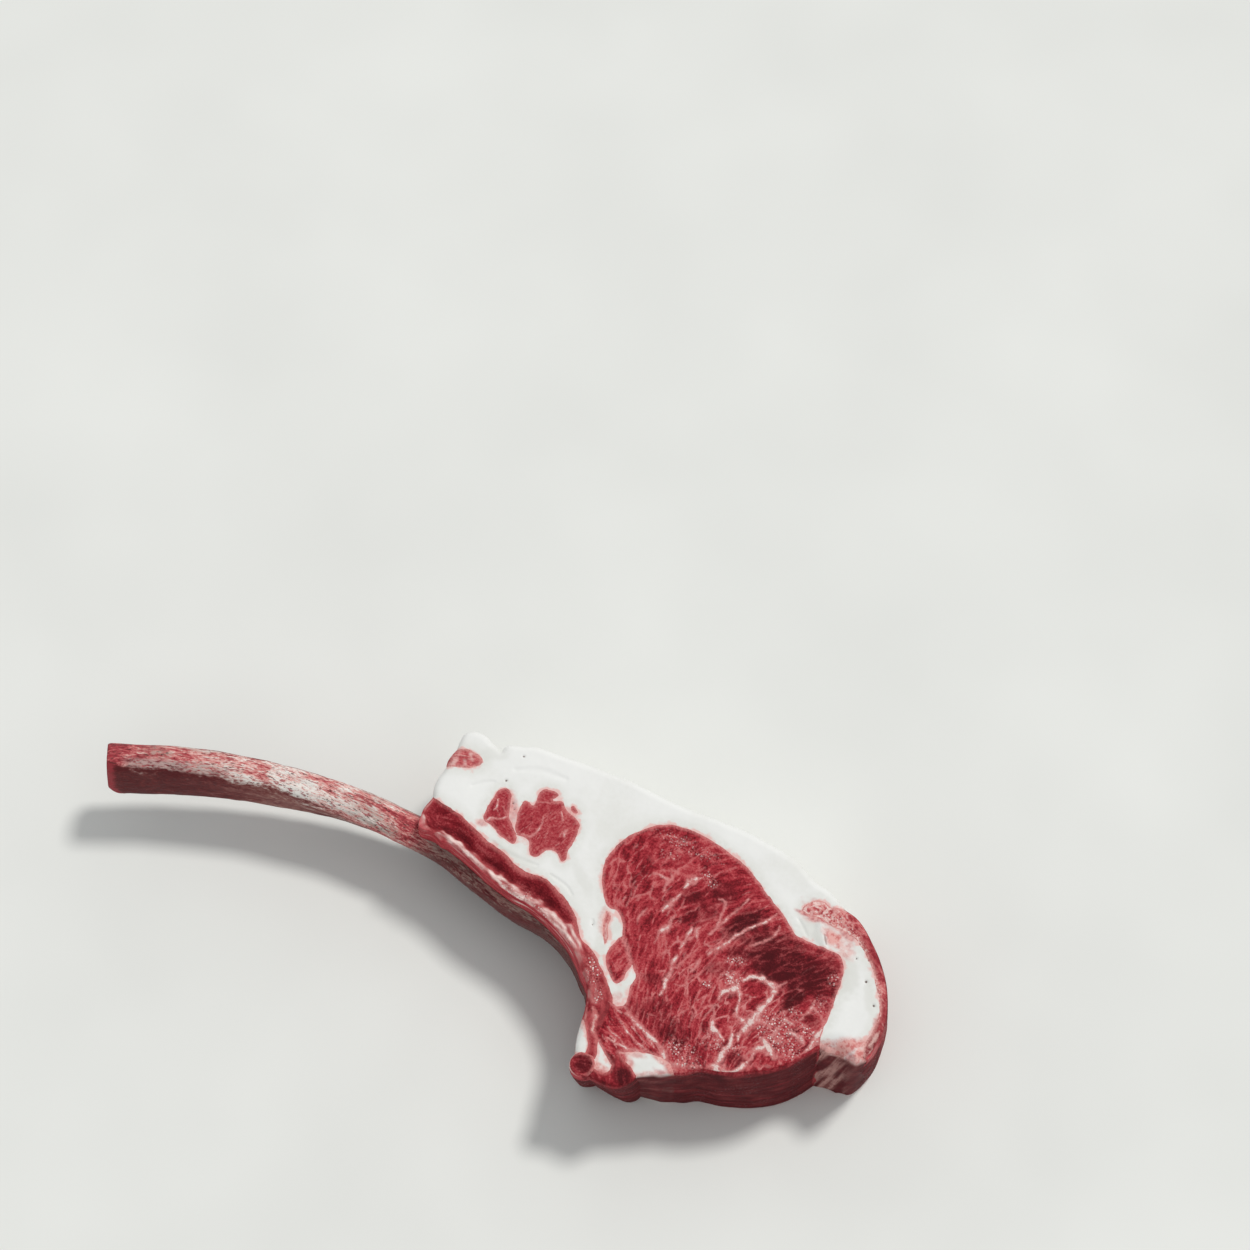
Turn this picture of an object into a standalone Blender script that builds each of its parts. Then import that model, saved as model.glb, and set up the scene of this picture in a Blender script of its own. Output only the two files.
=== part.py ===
"""A frenched lamb rib chop, raw, lying on one cut face with the other cut face up.

The chop is a slice straight across the loin, so every muscle and every layer of fat runs
through its thickness. All of them are prisms between shared boundary lines, drawn in
millimetres on the upper cut face, and one bending of the plan gives them their outer wall.
The rib is a swept bone that comes out of the meat and ends in a bare handle.
"""

import math

import bmesh
import bpy
import numpy as np

MM = 0.001

# Driving sizes, in millimetres.
THICKNESS = 22.0
GAP = 0.3
EDGE_ROUNDING = 1.0
WALL_BULGE = 0.3
RIB_SIDE_UNDERCUT = 3.0
CORNER_UNDERCUT = 3.8
CHINE_UNDERCUT = 1.4
CHINE_OVERHANG = -1.8
END_UNDERCUT = 1.4
RIB_HALF_THICKNESS = 3.3
RIB_HALF_HEIGHT = 6.0
KNOB_MIDDLE = (19.4, -21.6)
KNOB_RADIUS = 2.45
# The drawing's place of the middle of the whole chop, which becomes the origin.
DRAWN_MIDDLE = (-9.34, 7.28)

OUTLINE_STEP = 0.5
OUTLINE_TOLERANCE = 0.07
WALL_HEIGHTS = (0.0, 1.0, 7.0, 15.0, 21.0, 22.0)
WALL_INSETS = (EDGE_ROUNDING, 0.15, -WALL_BULGE, -WALL_BULGE, 0.15, EDGE_ROUNDING)
ROUNDING_REACH = 4.0
UNDERCUT_REACH = 12.0

# Where three pieces, or two pieces and the outside, meet on the cut face.
TAIL_FOOT = (-25.6, 21.6)
TAIL_STRIP_LOW = (-25.2, 28.6)
TAIL_STRIP_HIGH = (-24.5, 32.7)
LAYER_START = (58.2, 24.1)
LAYER_END = (70.1, -3.8)
EYE_CORNER = (61.4, -3.5)
CHINE_FAT_TIP = (36.6, -17.9)
CHINE_FAT_FOOT = (30.0, -20.7)
FORK_LEFT = (21.2, -8.1)
FORK_RIGHT = (23.3, -7.9)
INNER_LOW = (22.4, 0.4)
INNER_HIGH = (18.7, 5.4)
VEIN_FOOT = (33.6, -15.6)
END_TOP = (25.2, -17.2)
SEAM_TOP = (21.0, -16.4)
SEAM_FOOT = (24.8, -20.2)
EDGE_FAT_TOP = (16.6, -12.6)
# Angles round the knob, in degrees, of the pieces that touch it.
KNOB_EDGE_FAT = 146.0
KNOB_STRIP = 92.0
KNOB_SEAM = 38.0
KNOB_END = -2.0
KNOB_OUTSIDE = -46.0


def knob_point(angle):
    turn = math.radians(angle)
    return (
        KNOB_MIDDLE[0] + KNOB_RADIUS * math.cos(turn),
        KNOB_MIDDLE[1] + KNOB_RADIUS * math.sin(turn),
    )


def knob_arc(start, end, count=5):
    return [knob_point(start + (end - start) * i / (count - 1)) for i in range(count)]


# The boundary lines, each from one meeting point to the next. The chop's outside first.
ARCS = {
    "tail_low": [TAIL_FOOT, (-26.1, 23.5), (-26.0, 25.5), (-25.5, 27.3), TAIL_STRIP_LOW],
    "tail_mid": [TAIL_STRIP_LOW, (-25.3, 30.0), (-25.0, 31.4), TAIL_STRIP_HIGH],
    "tail_top": [
        TAIL_STRIP_HIGH, (-24.4, 34.6), (-24.1, 36.4), (-22.9, 37.4), (-21.3, 37.6),
        (-19.7, 37.2), (-17.9, 36.1), (-16.0, 35.2),
    ],
    "back": [
        (-16.0, 35.2), (-15.1, 36.7), (-12.5, 37.4), (-9.3, 38.1), (-3.0, 37.8),
        (5.0, 37.3), (12.0, 36.6), (20.0, 35.1), (30.0, 34.3), (35.5, 33.7), (42.0, 32.2),
        (46.5, 30.8), (51.0, 27.9), (54.2, 26.7), LAYER_START,
    ],
    "layer_outside": [
        LAYER_START, (60.6, 23.2), (63.0, 21.4), (65.0, 19.3), (67.0, 16.9), (68.9, 14.0),
        (70.3, 11.3), (71.3, 8.5), (71.9, 5.8), (72.0, 3.0), (71.7, 0.5), (71.1, -1.8), LAYER_END,
    ],
    "flap": [LAYER_END, (68.7, -4.8), (66.6, -3.7), (64.2, -3.2), EYE_CORNER],
    "chine_wall": [
        EYE_CORNER, (59.4, -6.4), (57.0, -9.0), (54.0, -11.2), (50.0, -13.3), (45.5, -14.9),
        (41.2, -15.7), (38.5, -17.2), CHINE_FAT_TIP,
    ],
    "chine_fat_outside": [CHINE_FAT_TIP, (33.6, -19.2), CHINE_FAT_FOOT],
    "end_outside": [
        CHINE_FAT_FOOT, (29.2, -22.2), (27.6, -23.6), (25.8, -24.1), (23.4, -23.8),
        knob_point(KNOB_OUTSIDE),
    ],
    "knob_outside": knob_arc(KNOB_OUTSIDE, KNOB_EDGE_FAT - 360.0, 10),
    "edge_fat_outside": [knob_point(KNOB_EDGE_FAT), (16.9, -18.2), (16.7, -15.5), EDGE_FAT_TOP],
    "rib_side": [
        EDGE_FAT_TOP, (16.4, -10.3), (15.6, -7.2), (13.6, -4.0), (11.4, -0.9), (8.6, 2.0),
        (5.2, 4.7), (1.0, 6.8), (-4.0, 8.3), (-9.0, 10.0), (-13.5, 12.1), (-18.5, 14.0),
        (-22.5, 14.8), (-25.0, 15.4),
    ],
    "collar": [(-25.0, 15.4), (-26.2, 17.0), (-26.5, 18.8), TAIL_FOOT],
    # Between the pieces.
    "fat_rib": [
        TAIL_FOOT, (-22.0, 20.5), (-18.5, 19.3), (-15.0, 17.4), (-12.0, 15.9), (-8.5, 14.7),
        (-5.5, 13.0), (-3.0, 12.3), (0.0, 12.2), (2.5, 11.4), (5.0, 9.8), (7.0, 8.3),
        (9.0, 6.3), (10.3, 4.0), (11.4, 2.3), (13.5, 1.2), (15.5, -0.5), (17.3, -2.5),
        (19.1, -4.6), (20.3, -6.4), FORK_LEFT,
    ],
    "fat_tail_strip": [
        TAIL_STRIP_LOW, (-23.0, 29.0), (-20.5, 29.6), (-18.8, 31.0), (-18.8, 32.2),
        (-20.3, 32.9), (-22.3, 33.2), TAIL_STRIP_HIGH,
    ],
    "fat_layer": [
        LAYER_START, (56.6, 23.9), (55.3, 23.5), (54.0, 24.3), (52.4, 24.2), (50.9, 23.0),
        (50.2, 21.3), (52.0, 20.6), (54.0, 20.7), (56.4, 19.9), (59.4, 19.5), (61.3, 18.8),
        (64.0, 17.0), (66.5, 13.9), (68.6, 10.2), (70.1, 7.0), (70.5, 4.6), (70.2, 1.4),
        (69.6, -0.8), LAYER_END,
    ],
    "fat_eye": [
        EYE_CORNER, (61.0, -1.6), (61.3, 1.0), (61.6, 6.0), (61.7, 9.5), (61.4, 12.4),
        (59.7, 14.6), (56.5, 15.2), (52.5, 15.6), (50.0, 16.3), (47.5, 18.9), (44.0, 21.4),
        (40.5, 24.3), (37.0, 26.7), (32.5, 28.6), (27.5, 30.1), (23.0, 30.5), (18.8, 29.7),
        (15.3, 27.3), (12.5, 24.0), (11.0, 20.0), (10.9, 17.2), (12.0, 13.6), (14.0, 10.5),
        (16.0, 10.2), (17.8, 8.1), INNER_HIGH,
    ],
    "fat_inner": [
        INNER_HIGH, (17.5, 3.5), (17.0, 1.0), (17.5, -0.9), (18.7, -2.7), (20.3, -4.1),
        (21.4, -3.3), (21.7, -1.4), INNER_LOW,
    ],
    "eye_inner": [INNER_LOW, (21.2, 1.9), (19.9, 4.0), INNER_HIGH],
    "fat_eye_fork": [INNER_LOW, (23.7, -1.6), (23.3, -4.2), (23.6, -6.2), FORK_RIGHT],
    "fat_chine_muscle": [FORK_LEFT, (22.2, -8.5), FORK_RIGHT],
    "eye_chine_muscle": [
        FORK_RIGHT, (25.0, -9.5), (28.0, -11.2), (31.0, -13.1), (32.7, -14.4), VEIN_FOOT,
    ],
    "eye_chine_fat": [VEIN_FOOT, (35.4, -16.3), CHINE_FAT_TIP],
    "chine_fat_muscle": [VEIN_FOOT, (31.5, -15.7), (28.5, -16.0), END_TOP],
    "chine_fat_end": [END_TOP, (26.6, -18.0), (28.5, -19.3), CHINE_FAT_FOOT],
    "end_muscle": [END_TOP, (24.6, -18.6), SEAM_FOOT],
    "seam_muscle": [SEAM_TOP, (22.4, -17.7), (23.7, -19.0), SEAM_FOOT],
    "seam_end": [SEAM_FOOT, (24.7, -21.4), (23.4, -22.0), knob_point(KNOB_END)],
    "seam_rib": [knob_point(KNOB_SEAM), (21.5, -18.8), (21.1, -17.6), SEAM_TOP],
    "rib_chine_muscle": [FORK_LEFT, (20.8, -10.0), (20.4, -13.0), (20.5, -15.0), SEAM_TOP],
    "rib_edge_fat": [knob_point(KNOB_STRIP), (19.3, -17.6), (18.2, -15.3), (17.3, -13.6), EDGE_FAT_TOP],
    "knob_edge_fat": knob_arc(KNOB_EDGE_FAT, KNOB_STRIP),
    "knob_rib": knob_arc(KNOB_STRIP, KNOB_SEAM),
    "knob_seam": knob_arc(KNOB_SEAM, KNOB_END),
    "knob_end": knob_arc(KNOB_END, KNOB_OUTSIDE),
}

# The arcs round each piece in order; a minus sign runs one backwards.
OUTSIDE = (
    "tail_low tail_mid tail_top back layer_outside flap chine_wall chine_fat_outside "
    "end_outside knob_outside edge_fat_outside rib_side collar"
)
LOWER_ARCS = "flap chine_wall chine_fat_outside end_outside edge_fat_outside rib_side collar"
PIECES = {
    "fat_cap": (
        "tail_low fat_tail_strip tail_top back fat_layer flap fat_eye fat_inner fat_eye_fork "
        "-fat_chine_muscle -fat_rib"
    ),
    "eye_muscle": (
        "-fat_eye chine_wall -eye_chine_fat -eye_chine_muscle -fat_eye_fork eye_inner"
    ),
    "rib_strip": (
        "fat_rib rib_chine_muscle -seam_rib -knob_rib rib_edge_fat rib_side collar"
    ),
    "tail_strip": "tail_mid -fat_tail_strip",
    "outer_layer": "layer_outside -fat_layer",
    "inner_muscle": "fat_inner eye_inner",
    "chine_muscle": (
        "fat_chine_muscle eye_chine_muscle chine_fat_muscle end_muscle -seam_muscle "
        "-rib_chine_muscle"
    ),
    "chine_fat": "eye_chine_fat chine_fat_outside -chine_fat_end -chine_fat_muscle",
    "chine_end": "chine_fat_end end_outside -knob_end -seam_end -end_muscle",
    "seam_fat": "seam_muscle seam_end -knob_seam seam_rib",
    "edge_fat": "edge_fat_outside -rib_edge_fat -knob_edge_fat",
    "chine_knob": "knob_edge_fat knob_rib knob_seam knob_end knob_outside",
}

# Small muscles that lie as islands in the fat.
ISLANDS = {
    "side_muscle_left": [
        (-12.5, 27.7), (-11.1, 26.7), (-10.6, 24.6), (-10.1, 22.4), (-8.6, 20.6),
        (-7.2, 18.4), (-7.7, 17.0), (-10.2, 17.7), (-12.4, 19.1), (-14.6, 20.2),
        (-14.6, 23.0), (-14.0, 26.4),
    ],
    "side_muscle_right": [
        (-8.5, 25.9), (-7.3, 26.3), (-6.2, 25.9), (-6.0, 28.2), (-5.2, 29.8), (-3.4, 30.0),
        (-2.3, 29.5), (-2.9, 28.1), (-1.0, 28.3), (0.3, 26.9), (2.4, 25.9), (3.7, 24.3),
        (3.7, 21.5), (3.2, 19.0), (3.5, 17.3), (2.6, 16.5), (1.2, 17.9), (-0.9, 17.7),
        (-2.0, 16.0), (-3.7, 15.9), (-4.9, 18.6), (-7.4, 19.2), (-8.4, 22.0),
    ],
    "side_muscle_bit": [(0.9, 27.9), (1.4, 28.3), (2.3, 27.7), (2.6, 27.0), (1.6, 26.9)],
    "pink_sliver": [(14.1, 9.3), (15.3, 8.4), (15.5, 6.4), (16.3, 4.4), (15.9, 2.9), (14.8, 5.2)],
}

# The rib's middle line: x, y and height, from the cut end of the handle into the meat.
RIB_LINE = [
    (-89.7, 9.8, 15.0), (-85.0, 11.3, 14.8), (-75.0, 14.2, 14.2), (-60.0, 17.1, 13.2),
    (-45.0, 18.4, 12.4), (-35.0, 18.1, 11.8), (-27.0, 17.0, 11.4), (-20.0, 15.4, 11.1),
    (-12.0, 12.1, 10.9), (-5.0, 9.4, 10.9), (2.0, 7.4, 11.2), (7.0, 5.0, 11.9),
    (10.6, 2.2, 12.8), (13.4, -1.2, 13.6), (16.2, -5.2, 14.4), (18.3, -10.6, 14.8),
]
# Along the rib's length: how thick it is and how far it turns round its middle line.
RIB_SWELL_AT = (0.0, 0.008, 0.1, 0.3, 0.55, 0.76, 0.86, 0.92, 1.0)
RIB_SWELL = (0.92, 1.14, 1.14, 1.01, 0.97, 0.96, 0.78, 0.62, 0.42)
RIB_TURN_DEGREES = 14.0
RIB_STEPS = 38
RIB_SIDES = 16
RIB_SQUARENESS = 2.5
CLEARANCE_OVERRUN = 0.6

MEAT = (0.33, 0.035, 0.05, 1.0)
DARK_MEAT = (0.23, 0.022, 0.03, 1.0)
PALE_MEAT = (0.62, 0.19, 0.18, 1.0)
FAT = (0.83, 0.81, 0.76, 1.0)
BONE = (0.55, 0.2, 0.19, 1.0)
MEAT_ROUGHNESS = 0.42
FAT_ROUGHNESS = 0.5
COLOURS = {
    "fat_cap": FAT,
    "eye_muscle": MEAT,
    "rib_strip": DARK_MEAT,
    "tail_strip": PALE_MEAT,
    "outer_layer": PALE_MEAT,
    "inner_muscle": MEAT,
    "chine_muscle": MEAT,
    "chine_fat": FAT,
    "chine_end": DARK_MEAT,
    "seam_fat": FAT,
    "edge_fat": FAT,
    "chine_knob": DARK_MEAT,
    "side_muscle_left": MEAT,
    "side_muscle_right": MEAT,
    "side_muscle_bit": DARK_MEAT,
    "pink_sliver": PALE_MEAT,
    "rib_bone": BONE,
}


def smooth_line(points, closed=False):
    """A curve through the points, with even tangents at each, as closely spaced points."""
    knots = np.array(points, float)
    if closed:
        before, after = knots[-1:], knots[:2]
    else:
        before, after = 2 * knots[:1] - knots[1:2], 2 * knots[-1:] - knots[-2:-1]
    knots = np.concatenate([before, knots, after])
    line = []
    for a, b, c, d in zip(knots, knots[1:], knots[2:], knots[3:]):
        count = max(2, math.ceil(np.linalg.norm(c - b) / OUTLINE_STEP))
        for t in np.arange(count) / count:
            line.append(
                0.5 * (2 * b + (c - a) * t + (2 * a - 5 * b + 4 * c - d) * t**2
                       + (3 * b - a - 3 * c + d) * t**3)
            )
    if not closed:
        line.append(knots[-2])
    return np.array(line)


def thinned(line):
    """The line with the points left out that lie within the tolerance of it."""
    kept = [0, len(line) - 1]
    spans = [(0, len(line) - 1)]
    while spans:
        first, last = spans.pop()
        if last - first < 2:
            continue
        along = line[last] - line[first]
        offsets = line[first + 1:last] - line[first]
        length = np.linalg.norm(along)
        if length < OUTLINE_TOLERANCE:
            away = np.linalg.norm(offsets, axis=1)
        else:
            away = np.abs(along[0] * offsets[:, 1] - along[1] * offsets[:, 0]) / length
        worst = int(np.argmax(away))
        if away[worst] > OUTLINE_TOLERANCE:
            middle = first + 1 + worst
            kept.append(middle)
            spans += [(first, middle), (middle, last)]
    return line[sorted(kept)]


def outline_of(arc_names):
    """The closed outline made of the named arcs, one after another."""
    points = []
    for name in arc_names.split():
        arc = thinned(smooth_line(ARCS[name.strip("-")]))
        points.extend(arc[::-1][:-1] if name.startswith("-") else arc[:-1])
    return np.array(points)


def loop_of(points):
    """A closed smooth outline, thinned in two halves."""
    line = smooth_line(points, closed=True)
    line = np.concatenate([line, line[:1]])
    half = len(line) // 2
    return np.concatenate([thinned(line[:half + 1])[:-1], thinned(line[half:])[:-1]])


def signed_area(outline):
    after = np.roll(outline, -1, axis=0)
    return 0.5 * float(np.sum(outline[:, 0] * after[:, 1] - outline[:, 1] * after[:, 0]))


def grown(outline, distance):
    """The outline moved outwards by the distance, and inwards by a negative one."""
    if signed_area(outline) < 0:
        outline = outline[::-1]
    back = outline - np.roll(outline, 1, axis=0)
    ahead = np.roll(outline, -1, axis=0) - outline
    back /= np.linalg.norm(back, axis=1)[:, None]
    ahead /= np.linalg.norm(ahead, axis=1)[:, None]
    out_back = np.stack([back[:, 1], -back[:, 0]], axis=1)
    out_ahead = np.stack([ahead[:, 1], -ahead[:, 0]], axis=1)
    corner = out_back + out_ahead
    stretch = np.maximum(np.sum(corner * corner, axis=1) / 2, 0.35)
    return outline + distance * corner / stretch[:, None]


def lines_named(arc_names):
    """The named arcs as one run of close points, each joint once."""
    return np.concatenate([smooth_line(ARCS[name])[:-1] for name in arc_names.split()])


BODY_OUTLINE = lines_named(OUTSIDE)
LOWER_SIDE = lines_named(LOWER_ARCS)


def smoothstep(value):
    value = np.clip(value, 0.0, 1.0)
    return value * value * (3 - 2 * value)


def nearest(points, line):
    """For each point, the index of the nearest point of the line and the distance to it."""
    apart = np.linalg.norm(points[:, None, :] - line[None, :, :], axis=2)
    index = np.argmin(apart, axis=1)
    return index, apart[np.arange(len(points)), index]


def bent(points):
    """The points of upright prisms moved so that their outside becomes the chop's wall.

    The wall is rounded at both cut faces and a little full between them. On the rib side it
    goes in under the bone, and along the chine it leans in at one end and out at the other.
    """
    plan, height = points[:, :2].copy(), points[:, 2]
    index, apart = nearest(plan, BODY_OUTLINE)
    ahead = np.roll(BODY_OUTLINE, -3, axis=0) - np.roll(BODY_OUTLINE, 3, axis=0)
    inward = np.stack([-ahead[:, 1], ahead[:, 0]], axis=1)
    inward /= np.linalg.norm(inward, axis=1)[:, None] * np.sign(signed_area(BODY_OUTLINE))
    inset = np.interp(height, WALL_HEIGHTS, WALL_INSETS)
    fade = smoothstep(1 - apart / ROUNDING_REACH)
    moved = plan + inward[index] * (inset * fade)[:, None]

    depth = 1 - height / THICKNESS
    _, from_lower = nearest(plan, LOWER_SIDE)
    chine = smoothstep((plan[:, 0] - 12.0) / 6.0)
    reach_in = np.interp(
        plan[:, 0],
        (14.0, 20.0, 26.0, 34.0, 62.0, 66.0, 71.0),
        (
            RIB_SIDE_UNDERCUT, CORNER_UNDERCUT, CORNER_UNDERCUT, CHINE_UNDERCUT,
            CHINE_OVERHANG, CHINE_OVERHANG, END_UNDERCUT,
        ),
    )
    profile = chine * depth + (1 - chine) * smoothstep((depth - 0.5) / 0.5)
    moved[:, 1] += reach_in * profile * smoothstep(1 - from_lower / UNDERCUT_REACH)
    return np.column_stack([moved, height])


def new_material(name, colour, roughness):
    material = bpy.data.materials.new(name)
    material.use_nodes = True
    shader = material.node_tree.nodes["Principled BSDF"]
    shader.inputs["Base Color"].default_value = colour
    shader.inputs["Roughness"].default_value = roughness
    shader.inputs["Metallic"].default_value = 0.0
    material.diffuse_color = colour
    return material


def dress(obj, name):
    roughness = FAT_ROUGHNESS if COLOURS[name] == FAT else MEAT_ROUGHNESS
    obj.data.materials.clear()
    obj.data.materials.append(new_material(name, COLOURS[name], roughness))
    obj.data.shade_smooth()
    obj.data.set_sharp_from_angle(angle=math.radians(40.0))


def mesh_from_curve(curve, name, collection):
    """The curve object's evaluated mesh as an object of its own, with its caps joined on."""
    bpy.context.view_layer.update()
    graph = bpy.context.evaluated_depsgraph_get()
    mesh = bpy.data.meshes.new_from_object(curve.evaluated_get(graph))
    mesh.name = name
    obj = bpy.data.objects.new(name, mesh)
    obj.matrix_world = curve.matrix_world
    collection.objects.link(obj)
    bpy.data.objects.remove(curve)
    shape = bmesh.new()
    shape.from_mesh(mesh)
    bmesh.ops.remove_doubles(shape, verts=shape.verts, dist=0.000005)
    bmesh.ops.triangulate(shape, faces=[face for face in shape.faces if len(face.verts) > 4])
    bmesh.ops.recalc_face_normals(shape, faces=shape.faces)
    shape.to_mesh(mesh)
    shape.free()
    return obj


def add_spline(curve, points, closed):
    spline = curve.splines.new("POLY")
    spline.points.add(len(points) - 1)
    for place, point in zip(spline.points, points):
        place.co = (*point, 1.0)
    spline.use_cyclic_u = closed
    return spline


def prism(name, outlines, heights, collection):
    """One piece of the chop: its outline and any holes, through the thickness, then bent."""
    data = bpy.data.curves.new(name, "CURVE")
    data.dimensions = "2D"
    data.fill_mode = "BOTH"
    data.extrude = THICKNESS * MM / 2
    for outline in outlines:
        add_spline(data, [(x * MM, y * MM, 0.0) for x, y in outline], True)
    curve = bpy.data.objects.new(name + "_outline", data)
    collection.objects.link(curve)
    obj = mesh_from_curve(curve, name, collection)
    shape = bmesh.new()
    shape.from_mesh(obj.data)
    bmesh.ops.translate(shape, verts=shape.verts, vec=(0, 0, THICKNESS * MM / 2))
    for height in heights:
        parts = shape.verts[:] + shape.edges[:] + shape.faces[:]
        bmesh.ops.bisect_plane(
            shape, geom=parts, dist=0.000001, plane_co=(0, 0, height * MM), plane_no=(0, 0, 1)
        )
    points = bent(np.array([vert.co[:] for vert in shape.verts]) / MM)
    points[:, :2] -= DRAWN_MIDDLE
    for vert, point in zip(shape.verts, points):
        vert.co = point * MM
    shape.to_mesh(obj.data)
    shape.free()
    dress(obj, name)
    return obj


def rib_profile(name, extra, collection):
    """The rib's section, a flattened oval with full corners, as a closed curve."""
    data = bpy.data.curves.new(name, "CURVE")
    data.dimensions = "2D"
    points = []
    for i in range(RIB_SIDES):
        turn = 2 * math.pi * (i + 0.5) / RIB_SIDES
        across, up = math.cos(turn), math.sin(turn)
        power = 2 / RIB_SQUARENESS
        points.append((
            math.copysign(abs(across) ** power, across) * (RIB_HALF_THICKNESS + extra) * MM,
            math.copysign(abs(up) ** power, up) * (RIB_HALF_HEIGHT + extra) * MM,
            0.0,
        ))
    add_spline(data, points, True)
    obj = bpy.data.objects.new(name, data)
    obj.hide_render = True
    obj.display_type = "WIRE"
    collection.objects.link(obj)
    return obj


def rib(name, extra, overrun, collection, helpers):
    """The rib as a sweep of its section; extra and overrun make the room it lies in."""
    line = smooth_line(RIB_LINE)
    run = np.concatenate([[0], np.cumsum(np.linalg.norm(np.diff(line, axis=0), axis=1))])
    shares = np.linspace(0, 1, RIB_STEPS)
    shares = np.insert(shares, 1, RIB_SWELL_AT[1])
    places = np.column_stack([np.interp(shares * run[-1], run, line[:, axis]) for axis in range(3)])
    if overrun:
        ahead = places[-1] - places[-2]
        places[-1] += overrun * ahead / np.linalg.norm(ahead)
    places[:, :2] -= DRAWN_MIDDLE
    data = bpy.data.curves.new(name, "CURVE")
    data.dimensions = "3D"
    data.twist_mode = "Z_UP"
    data.bevel_mode = "OBJECT"
    data.bevel_object = rib_profile(name + "_section", extra, helpers)
    data.use_fill_caps = True
    spline = add_spline(data, [tuple(place * MM) for place in places], False)
    for point, share in zip(spline.points, shares):
        point.radius = float(np.interp(share, RIB_SWELL_AT, RIB_SWELL))
        point.tilt = math.radians(RIB_TURN_DEGREES) * float(smoothstep(1 - share / 0.6))
    curve = bpy.data.objects.new(name + "_line", data)
    collection.objects.link(curve)
    return mesh_from_curve(curve, name, collection)


def cut(obj, cutter):
    modifier = obj.modifiers.new("room for the rib", "BOOLEAN")
    modifier.operation = "DIFFERENCE"
    modifier.solver = "EXACT"
    modifier.object = cutter


def main():
    for obj in list(bpy.data.objects):
        bpy.data.objects.remove(obj, do_unlink=True)
    chop = bpy.data.collections.new("rib_chop")
    helpers = bpy.data.collections.new("cutters")
    for collection in (chop, helpers):
        bpy.context.scene.collection.children.link(collection)

    islands = {name: loop_of(points) for name, points in ISLANDS.items()}
    pieces = {}
    for name, arc_names in PIECES.items():
        outlines = [grown(outline_of(arc_names), -GAP / 2)]
        if name == "fat_cap":
            outlines += [grown(island, GAP / 2) for island in islands.values()]
        pieces[name] = prism(name, outlines, WALL_HEIGHTS[1:-1], chop)
    for name, island in islands.items():
        prism(name, [grown(island, -GAP / 2)], (), chop)

    bone = rib("rib_bone", 0.0, 0.0, chop, helpers)
    dress(bone, "rib_bone")
    room = rib("rib_room", GAP, CLEARANCE_OVERRUN, helpers, helpers)
    room.hide_render = True
    room.display_type = "WIRE"
    cut(pieces["rib_strip"], room)
    cut(pieces["fat_cap"], room)


main()
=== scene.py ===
"""The looks of a frenched lamb rib chop: lean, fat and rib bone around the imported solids.

The chop is drawn in millimetres on its upper cut face, as the solids are. A fine lattice over
that drawing is split along the boundary lines, so every muscle and every layer of fat is a
closed piece that meets its neighbours edge to edge. The wall goes round them in close rings.
"""
import itertools
import math

import bpy
import numpy as np
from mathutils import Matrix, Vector
from mathutils.kdtree import KDTree


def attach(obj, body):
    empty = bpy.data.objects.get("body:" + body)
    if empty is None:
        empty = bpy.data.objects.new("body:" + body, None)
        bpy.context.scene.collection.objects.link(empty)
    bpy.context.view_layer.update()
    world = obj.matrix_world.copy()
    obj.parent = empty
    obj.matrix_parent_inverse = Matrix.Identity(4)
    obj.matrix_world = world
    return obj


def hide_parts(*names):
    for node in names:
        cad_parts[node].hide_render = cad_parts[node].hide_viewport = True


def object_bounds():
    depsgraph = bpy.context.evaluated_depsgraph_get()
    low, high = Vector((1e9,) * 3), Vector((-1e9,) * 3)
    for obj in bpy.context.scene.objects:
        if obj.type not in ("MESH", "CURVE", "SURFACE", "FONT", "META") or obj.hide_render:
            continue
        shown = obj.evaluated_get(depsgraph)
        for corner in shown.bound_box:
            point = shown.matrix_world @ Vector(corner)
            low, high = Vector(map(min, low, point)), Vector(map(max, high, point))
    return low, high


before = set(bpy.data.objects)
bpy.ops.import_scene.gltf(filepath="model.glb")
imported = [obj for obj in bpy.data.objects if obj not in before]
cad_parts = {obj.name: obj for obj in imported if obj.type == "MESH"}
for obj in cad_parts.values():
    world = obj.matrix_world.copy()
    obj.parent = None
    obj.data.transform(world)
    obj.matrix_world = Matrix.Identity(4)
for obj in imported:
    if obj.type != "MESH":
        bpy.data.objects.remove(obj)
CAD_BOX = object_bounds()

MM = 0.001
THICKNESS = round((CAD_BOX[1][2] - CAD_BOX[0][2]) / MM, 2)
# The place on the drawing that is the frame's origin.
DRAWN_MIDDLE = np.array([-9.34, 7.28])

# The camera: where it looks, from where, and how wide it sees there.
CAMERA_AZIMUTH = 18.0
CAMERA_ELEVATION = 66.0
CAMERA_DISTANCE = 0.9
CAMERA_TARGET = Vector((0.00518, 0.07023, 0.0))
CAMERA_FIELD = 0.256
SENSOR = 36.0

# The stage: floor, sun and sky.
FLOOR_REACH = 3.0
TOWARDS_SUN = Vector((0.257, 0.447, 0.856))
SUN_STRENGTH, SUN_WIDTH, SUN_COLOUR = 1.72, 11.0, (1.0, 0.985, 0.96)
SKY_STRENGTH, SKY_COLOUR = 0.54, (0.96, 0.98, 1.0, 1.0)

# The mesh: how fine it is, in mm, and how it is rounded at the rims.
LATTICE = 0.27
BORDER_HALVINGS = 7
OUTLINE_STEP = 0.25
STROKE_STEP = 0.3
RING_STEP = 0.36
ROUNDING_RINGS = 3
RIMS_HEIGHT = 2.6
EDGE_INSET = 0.2
LOWER_ROUNDING = 1.2
WALL_BULGE = 0.4
SEAM_WANDER = 1.5
KNOB_MIDDLE = (19.4, -21.6)
KNOB_RADIUS = 2.45

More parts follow.
